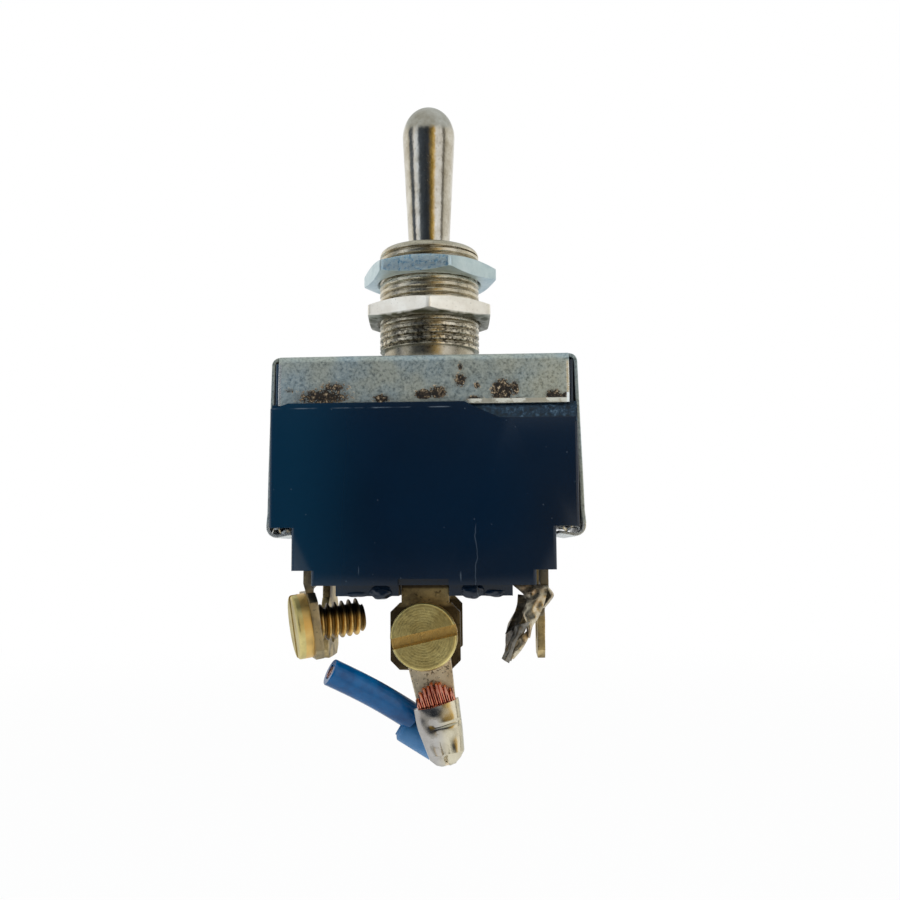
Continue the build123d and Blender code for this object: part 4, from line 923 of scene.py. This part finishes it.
class SWITCH_OT_lug(bpy.types.Operator):
    """Crimped lug: the flat eye and tongue, and a dented barrel open at its top."""

    bl_idname = "switch.lug"
    bl_label = "Lug"

    def execute(self, context):
        sizes, colours = context.scene.switch_sizes, context.scene.switch_colours
        # Tin plate over copper: matt, beige and pitted on the tongue, bright and smooth along the crimp
        material = worn_metal("dull tin plate", colours.lug, srgb("D2C0A4"), 0.44, 0.1, 0.3, 0.6, speck=0.7,
                              speck_size=0.28)[0]
        bright, tree, shader, place, tone = worn_metal(
            "pressed tin plate", colours.crimp, srgb("B4AC9E"), 0.21, 0.06, 0.5, 0.25, speck=0.1,
            speck_size=0.4,
        )
        parts = add(tree, "SeparateXYZ", {"Vector": place})
        # Painted reflection and shade: mauve-grey on the crimp's left, yellowish on its right, half mixed in
        side = add(tree, "MapRange", {"Value": parts.outputs["X"]}, between=(1.2 * MM, 2.8 * MM))
        painted_side_reflection = add(tree, "Mix", {0: side, 6: srgb("918F95"), 7: srgb("E2D6B0")}, data_type="RGBA")
        tone_and_painted_reflection = add(tree, "Mix", {0: 0.5, 6: tone.outputs[2], 7: painted_side_reflection.outputs[2]}, data_type="RGBA")
        tree.links.new(tone_and_painted_reflection.outputs[2], shader.inputs["Base Color"])
        around = np.linspace(0, ROUND, 128, endpoint=False)
        rows = np.linspace(0, 1, 90)
        rim_down, barrel_long, middle_height = 7.3, 6.25, 1.655
        down = rim_down + barrel_long * rows
        left = np.interp(down, (7.4, 8.6, 9.45, 11.08, 12.7, 13.3, 13.55), (-2.45, -2.42, -2.36, -2.0, -1.66,
                                                                            -1.1, -0.6))
        right = np.interp(down, (7.0, 7.7, 10.27, 12.3, 12.94, 13.4, 13.55), (2.44, 2.46, 2.32, 2.1, 1.6,
                                                                              1.0, 0.6))
        deep = np.interp(rows, (0, 0.4, 0.8, 0.95, 1.0), (1.4, 1.4, 1.25, 0.95, 0.55))
        middle, wide = (left + right) / 2, (right - left) / 2
        power = 0.66
        c, s = np.cos(around), np.sin(around)
        across = np.sign(c) * np.abs(c) ** power
        out = np.sign(s) * np.abs(s) ** power
        x = middle[:, None] + wide[:, None] * across
        z = middle_height + deep[:, None] * out
        down = down[:, None] + 0 * x
        front = np.clip(out, 0, 1)[None, :]
        # A vertical crease in the lower half, a diagonal dent with a fold above it, and the rim lifting
        # rightwards
        lower = np.clip((down - 9.5) / 0.5, 0, 1)
        crease = np.exp(-((x + 0.05 - 0.06 * (down - 11)) / 0.13) ** 2) * lower
        ridge = np.exp(-((x - 0.28 - 0.06 * (down - 11)) / 0.16) ** 2) * lower
        fold = np.exp(-((down - 9.35 + 0.04 * x) / 0.17) ** 2) * np.clip((x + 0.6) / 0.4, 0, 1)
        dent = np.exp(-(((x + 0.55) / 0.35) ** 2 + ((down - 9.1) / 0.38) ** 2))
        valley = np.exp(-((x + 0.05 - 0.06 * (down - 11)) / 0.75) ** 2) * np.clip((down - 9.3) / 2.0, 0, 1)
        z = z - front * (0.3 * crease - 0.12 * ridge + 0.16 * fold + 0.13 * dent + 0.4 * valley)
        z = z + front * 0.09 * ripple(np.stack([x, down, 0 * x], axis=2), 2.2, 5)
        down = down - 0.15 * np.clip(x + 0.3, 0, 3) * (1 - rows[:, None]) ** 2
        outer = np.stack([x, -down, z], axis=2)
        outer = np.concatenate([outer, np.broadcast_to(outer[-1].mean(0), outer[-1].shape)[None]])
        wall = sizes.lug_wall / MM
        # Only the rows near the open top have an inner wall
        open_rows = outer[:24]
        centre = open_rows.mean(1, keepdims=True)
        arms = open_rows - centre
        inner = centre + arms * (1 - wall / np.linalg.norm(arms, axis=2, keepdims=True))
        inner = inner[::-1]
        floor = np.broadcast_to(inner[0].mean(0), inner[0].shape)[None]
        barrel = np.concatenate([floor, inner, outer])
        tongue = softened("lug_tongue", "cable_lug", 0.05, "base", material)
        # The frame's plain barrel is drawn in, so that it stays within the crimped one
        count = len(tongue.data.vertices)
        at = np.empty(count * 3)
        tongue.data.vertices.foreach_get("co", at)
        axes = np.array(LUG_AXES)
        local = (at.reshape(-1, 3) / MM - LUG_ORIGIN) @ axes.T
        inside = np.clip((-local[:, 1] - 7.2) / 0.3, 0, 1) * (local[:, 2] > -0.4)
        local[:, 0] -= inside * 0.3 * (local[:, 0] - 0.1)
        local[:, 2] -= inside * 0.45 * (local[:, 2] - 1.3)
        tongue.data.vertices.foreach_set("co", (placed(local, LUG_ORIGIN, *LUG_AXES) * MM).ravel())
        piece("lug_barrel", [(placed(barrel, LUG_ORIGIN, *LUG_AXES), False, True)], "base",
              bright,
              (), 50.0)
        return {"FINISHED"}


class SWITCH_OT_strands(bpy.types.Operator):
    """Bare copper strands that come out of the barrel and lie over on the tongue."""

    bl_idname = "switch.strands"
    bl_label = "Strands"

    def execute(self, context):
        sizes, colours = context.scene.switch_sizes, context.scene.switch_colours
        # Drawn copper wire, pinkish where it is fresh and brown between the strands
        material = worn_metal("bare copper", colours.copper, srgb("A85C48"), 0.16, 0.08, 0.3, 0.3,
                              speck=0.3, speck_size=0.3)[0]
        draw = np.random.default_rng(7)
        grids = []
        thick = sizes.strand_width / MM / 2
        blunt = np.sqrt(np.clip(1 - (np.clip(np.linspace(0, 1, 36) - 0.93, 0, 1) / 0.07) ** 2, 0.04, 1))
        for k in range(17):
            foot = -1.72 + 0.23 * k
            top = float(np.interp(foot - 0.2, (-2.0, -1.1, -0.2, 0.8, 1.5, 2.0), (6.4, 5.35, 4.95, 5.0, 5.5,
                                                                                  6.0)))
            top += draw.uniform(-0.1, 0.1) + 0.45 * (k % 2)
            lift = draw.uniform(0, 0.16) - 0.3 * (k % 2)
            lean = 0.14 * (7.3 - top) + draw.uniform(-0.06, 0.06)
            path = smooth_path([
                (foot * 0.9 + 0.1, -8.7, 1.75), (foot * 0.97 + 0.05, -7.9, 1.95), (foot, -7.2, 2.0 + lift),
                (foot - lean * 0.5, -(7.2 + top) / 2, 1.85 + lift), (foot - lean, -top, 1.2 + lift),
            ], 36)
            grids.append((placed(capped(tube(path, thick * blunt, 12)), LUG_ORIGIN, *LUG_AXES), False, True))
        cross = smooth_path([(-0.1, -7.35, 2.45), (0.7, -7.6, 2.5), (1.3, -7.75, 2.4)], 14)
        grids.append((placed(capped(tube(cross, thick * 1.1, 10)), LUG_ORIGIN, *LUG_AXES), False, True))
        for k in range(4):
            loose = smooth_path([(-1.4, -7.8 - 0.1 * k, 1.9 - 0.1 * k), (-1.9, -7.6 - 0.12 * k,
                                                                         1.95 - 0.15 * k),
                                 (-2.35, -7.65 - 0.15 * k, 1.7 - 0.15 * k)], 12)
            grids.append((placed(capped(tube(loose, thick * 0.8, 8)), LUG_ORIGIN, *LUG_AXES), False, True))
        piece("strand_bundle", grids, "base", material, ("copper_strands",), 60.0)
        return {"FINISHED"}


class SWITCH_OT_wire(bpy.types.Operator):
    """Stub of blue wire and the sleeve behind the barrel."""

    bl_idname = "switch.wire"
    bl_label = "Wire"

    def execute(self, context):
        colours = context.scene.switch_colours
        # Extruded vinyl: glossy, soft reflections, faint rubbing
        skin, tree, shader, place = finish("blue vinyl insulation", IOR=1.45)
        rub = add(tree, "TexNoise", {"Vector": place, "Scale": per(1.6), "Detail": 5.0})
        tree.links.new(add(tree, "ValToRGB", {"Fac": rub}, ramp=[
            (0.35, colours.insulation), (0.7, srgb("00588F")),
        ]).outputs[0], shader.inputs["Base Color"])
        dull = add(tree, "MapRange", {"Value": rub, "To Min": 0.14, "To Max": 0.28})
        tree.links.new(dull.outputs[0], shader.inputs["Roughness"])
        # Softer vinyl of the lug's sleeve: paler, and lighter towards its lower end
        sleeve, tree, shader, place = finish("pale blue vinyl sleeve", IOR=1.5)
        haze = add(tree, "TexNoise", {"Vector": place, "Scale": per(1.2), "Detail": 5.0})
        parts = add(tree, "SeparateXYZ", {"Vector": place})
        lower = add(tree, "MapRange", {"Value": parts.outputs["Z"]}, between=(-39.5 * MM, -43.0 * MM))
        tone = add(tree, "Mix", {0: lower, 6: srgb("004C78"), 7: srgb("5C90C0")}, data_type="RGBA")
        clouded = add(tree, "Mix", {0: haze, 6: tone, 7: colours.sleeve}, data_type="RGBA")
        tree.links.new(clouded.outputs[2], shader.inputs["Base Color"])
        dull = add(tree, "MapRange", {"Value": haze, "To Min": 0.32, "To Max": 0.5})
        tree.links.new(dull.outputs[0], shader.inputs["Roughness"])
        core = worn_metal("cut copper", srgb("B58C8C"), srgb("5C4A55"), 0.4, 0.1, 0.2, 0.5, speck=0.5)[0]
        end, root = np.array([-9.98, -11.0, -34.1]), np.array([-1.5, -7.55, -39.32])
        share = np.linspace(0, 1, 40)[:, None]
        sag = np.sin(math.pi * share) * np.array([0.12, 0, 0.16])
        path = end + (root - end) * share + sag
        skin_radius, core_radius, sleeve_radius = 1.45, 0.82, 1.95
        outer = tube(path, skin_radius, 40)
        inner = tube(path, core_radius, 40)
        lip = path[0] + (outer[0] - path[0]) * 0.96
        direction = unit(root - end)
        edge = outer[0] + direction * 0.08
        skin_grid = np.concatenate([inner[::-1], lip[None], edge[None], outer[1:]])
        piece("wire_skin", [(skin_grid, True, True)], "base", skin, ("wire_insulation",),
              50.0)
        side = unit(np.cross(direction, (0, 0, 1)))
        over = np.cross(side, direction)
        grids = []
        for ring, count in ((0.0, 1), (0.27, 6), (0.54, 12)):
            for k in range(count):
                turn = ROUND * k / count
                shift = ring * (math.cos(turn) * side + math.sin(turn) * over)
                line = end + shift + direction * np.linspace(0.02 + 0.05 * math.sin(7 * k), 9.0, 8)[:, None]
                grids.append((capped(tube(line, 0.13, 10)), False, True))
        piece("wire_strands", grids, "base", core, ("wire_core",), 60.0)
        start, stop = np.array([-2.7, -6.6, -40.0]), np.array([1.2, -6.6, -42.35])
        run = np.linspace(0, 1, 30)
        line = start + (stop - start) * run[:, None]
        # Its left end is rounded over
        nose = np.sqrt(np.clip(1 - (1 - np.clip(run / 0.14, 0, 1)) ** 2.6, 0.62, 1))
        cover = tube(line, sleeve_radius * nose, 48)
        piece("lug_sleeve", [(capped(cover), False, True)], "base", sleeve, ("wire_sleeve",),
              50.0)
        return {"FINISHED"}


class SWITCH_OT_stage(bpy.types.Operator):
    """Camera at the photograph's place, soft lamps, a white room and a pale floor."""

    bl_idname = "switch.stage"
    bl_label = "Stage"

    def execute(self, context):
        scene = context.scene
        scene.view_settings.view_transform = "Standard"
        # The camera as it was fitted to the photograph: yaw about Z, pitch up and roll in degrees
        yaw, pitch, roll = math.radians(2.935), math.radians(5.713), math.radians(-0.385)
        eye = Matrix.Rotation(yaw, 3, "Z") @ Vector((2.364, -116.879, -21.192))
        data = bpy.data.cameras.new("photo_camera")
        data.sensor_width = 36.0
        data.lens = 39.45
        data.clip_start = 0.005
        camera = bpy.data.objects.new("photo_camera", data)
        camera.rotation_mode = "XYZ"
        turn = (
            Matrix.Rotation(yaw, 4, "Z") @ Matrix.Rotation(math.pi / 2 + pitch, 4, "X")
            @ Matrix.Rotation(roll, 4, "Z")
        )
        camera.matrix_world = Matrix.Translation(eye * MM) @ turn
        scene.collection.objects.link(camera)
        scene.camera = camera
        # Softboxes: (name, place, size, watts, colour), none of them mirrored in the metal
        lamps = (
            ("top_box", (0.1, -0.25, 0.6), (0.5, 0.5), 2.1, "FFFFFF"),
            ("left_box", (-0.5, -0.4, 0.15), (0.35, 0.6), 2.0, "F2F6FF"),
            ("right_box", (0.5, -0.35, 0.1), (0.2, 0.6), 1.0, "FFF6E4"),
        )
        for name, spot, size, watts, code in lamps:
            lamp = bpy.data.lights.new(name, "AREA")
            lamp.shape = "RECTANGLE"
            lamp.size, lamp.size_y = size
            lamp.energy = watts
            lamp.color = srgb(code)[:3]
            holder = bpy.data.objects.new(name, lamp)
            holder.visible_glossy = False
            aim = (-Vector(spot)).to_track_quat("-Z", "Y")
            holder.matrix_world = Matrix.Translation(spot) @ aim.to_matrix().to_4x4()
            scene.collection.objects.link(holder)
        # The room that the metal mirrors: white behind the switch, dark in front of it, a warm strip and a
        # white
        # window to the right; each entry is degrees to the right of the front, and a colour
        walls = (
            (-180, "FFFFFF"), (-110, "F6F4EC"), (-97, "D8D4C8"), (-90, "5A626C"), (-74, "4A525C"), (-67,
                                                                                                    "FFFFFF"),
            (-50, "E4ECF4"), (-42, "4A525C"), (-8, "2A3038"), (4, "3C4046"), (10, "6A5A34"), (20, "A08238"),
            (29, "EFCB78"), (36, "FFFFFF"), (66, "FFFFFF"), (71, "77736A"), (78, "77736A"), (86, "D8D4C8"),
            (110, "F6F4EC"), (180, "FFFFFF"),
        )
        world = bpy.data.worlds.new("white_room")
        scene.world = world
        world.use_nodes = True
        tree = world.node_tree
        ray = add(tree, "LightPath")
        way = add(tree, "TexCoord").outputs["Generated"]
        parts = add(tree, "SeparateXYZ", {"Vector": way})
        back = add(tree, "Math", {0: parts.outputs["Y"], 1: -1.0}, operation="MULTIPLY")
        turned_by = add(tree, "Math", {0: parts.outputs["X"], 1: back}, operation="ARCTAN2")
        share = add(tree, "MapRange", {"Value": turned_by, "From Min": -math.pi, "From Max": math.pi})
        bands = add(tree, "ValToRGB", {"Fac": share},
                    ramp=[((angle + 180) / 360, srgb(code)) for angle, code in walls])
        high = add(tree, "MapRange", {"Value": parts.outputs["Z"]}, between=(0.42, 0.62))
        over = add(tree, "Mix", {0: high, 6: bands, 7: srgb("C4C8C6")}, data_type="RGBA")
        low = add(tree, "MapRange", {"Value": parts.outputs["Z"]}, between=(-0.16, -0.3))
        mirrored = add(tree, "Mix", {0: low, 6: over.outputs[2], 7: srgb("CFCFCA")}, data_type="RGBA")
        sharp_ray = add(tree, "Math", {
            0: ray.outputs["Is Glossy Ray"], 1: ray.outputs["Is Transmission Ray"],
        },
                        operation="MAXIMUM")
        lit = add(tree, "Mix", {0: sharp_ray, 6: srgb("A8ACAE"), 7: mirrored.outputs[2]}, data_type="RGBA")
        seen = add(tree, "Mix", {0: ray.outputs["Is Camera Ray"], 6: lit.outputs[2], 7: (1, 1, 1, 1)},
                   data_type="RGBA")
        background = tree.nodes["Background"]
        tree.links.new(seen.outputs[2], background.inputs["Color"])
        background.inputs["Strength"].default_value = 1.0
        # The floor's half width, height and near edge in metres. It starts just in front of the switch, so
        # that
        # upright faces mirror the room and not the paper
        half, level, near = 1.6, -0.085, -0.1
        mesh = bpy.data.meshes.new("floor")
        mesh.from_pydata([(-half, near, level), (half, near, level), (half, half, level), (-half, half,
                                                                                           level)], [],
                         [(0, 1, 2, 3)])
        floor = bpy.data.objects.new("floor", mesh)
        scene.collection.objects.link(floor)
        paper, tree, shader, place = finish("pale floor", Base_Color=srgb("FFFFFF"), Roughness=0.9)
        ray = add(tree, "LightPath")
        glow = add(tree, "Emission", {"Color": (1, 1, 1, 1), "Strength": 1.0})
        # The paper keeps the shadow near the switch and fades into the white room further off
        away = add(tree, "VectorMath", {0: place}, operation="LENGTH").outputs["Value"]
        fade = add(tree, "MapRange", {"Value": away, "To Min": 0.93}, between=(0.12, 0.6))
        share = add(tree, "Math", {0: ray.outputs["Is Camera Ray"], 1: fade}, operation="MULTIPLY")
        both = add(tree, "MixShader", {0: share, 1: shader, 2: glow})
        tree.links.new(both.outputs[0], tree.nodes["Material Output"].inputs["Surface"])
        mesh.materials.append(paper)
        return {"FINISHED"}


STEPS = (
    SWITCH_OT_stage, SWITCH_OT_lever, SWITCH_OT_bushing, SWITCH_OT_nuts, SWITCH_OT_cover, SWITCH_OT_case,
    SWITCH_OT_inside, SWITCH_OT_terminals, SWITCH_OT_screws, SWITCH_OT_lug, SWITCH_OT_strands, SWITCH_OT_wire,
)


class SWITCH_PT_panel(bpy.types.Panel):
    """Lists the switch's pieces in the 3D view's sidebar."""

    bl_label = "Panel Toggle Switch"
    bl_idname = "SWITCH_PT_panel"
    bl_space_type = "VIEW_3D"
    bl_region_type = "UI"
    bl_category = "Switch"

    def draw(self, context):
        for step in STEPS:
            self.layout.operator(step.bl_idname)


CLASSES = (SwitchSizes, SwitchColours, *STEPS, SWITCH_PT_panel)


def register():
    """Registers the classes and puts the properties on the scene."""
    for each in CLASSES:
        bpy.utils.register_class(each)
    bpy.types.Scene.switch_sizes = bpy.props.PointerProperty(type=SwitchSizes)
    bpy.types.Scene.switch_colours = bpy.props.PointerProperty(type=SwitchColours)


def unregister():
    """Takes the properties and the classes away again."""
    del bpy.types.Scene.switch_colours
    del bpy.types.Scene.switch_sizes
    for each in reversed(CLASSES):
        bpy.utils.unregister_class(each)


def main():
    register()
    for step in STEPS:
        group, call = step.bl_idname.split(".")
        getattr(getattr(bpy.ops, group), call)()


if __name__ == "__main__":
    main()
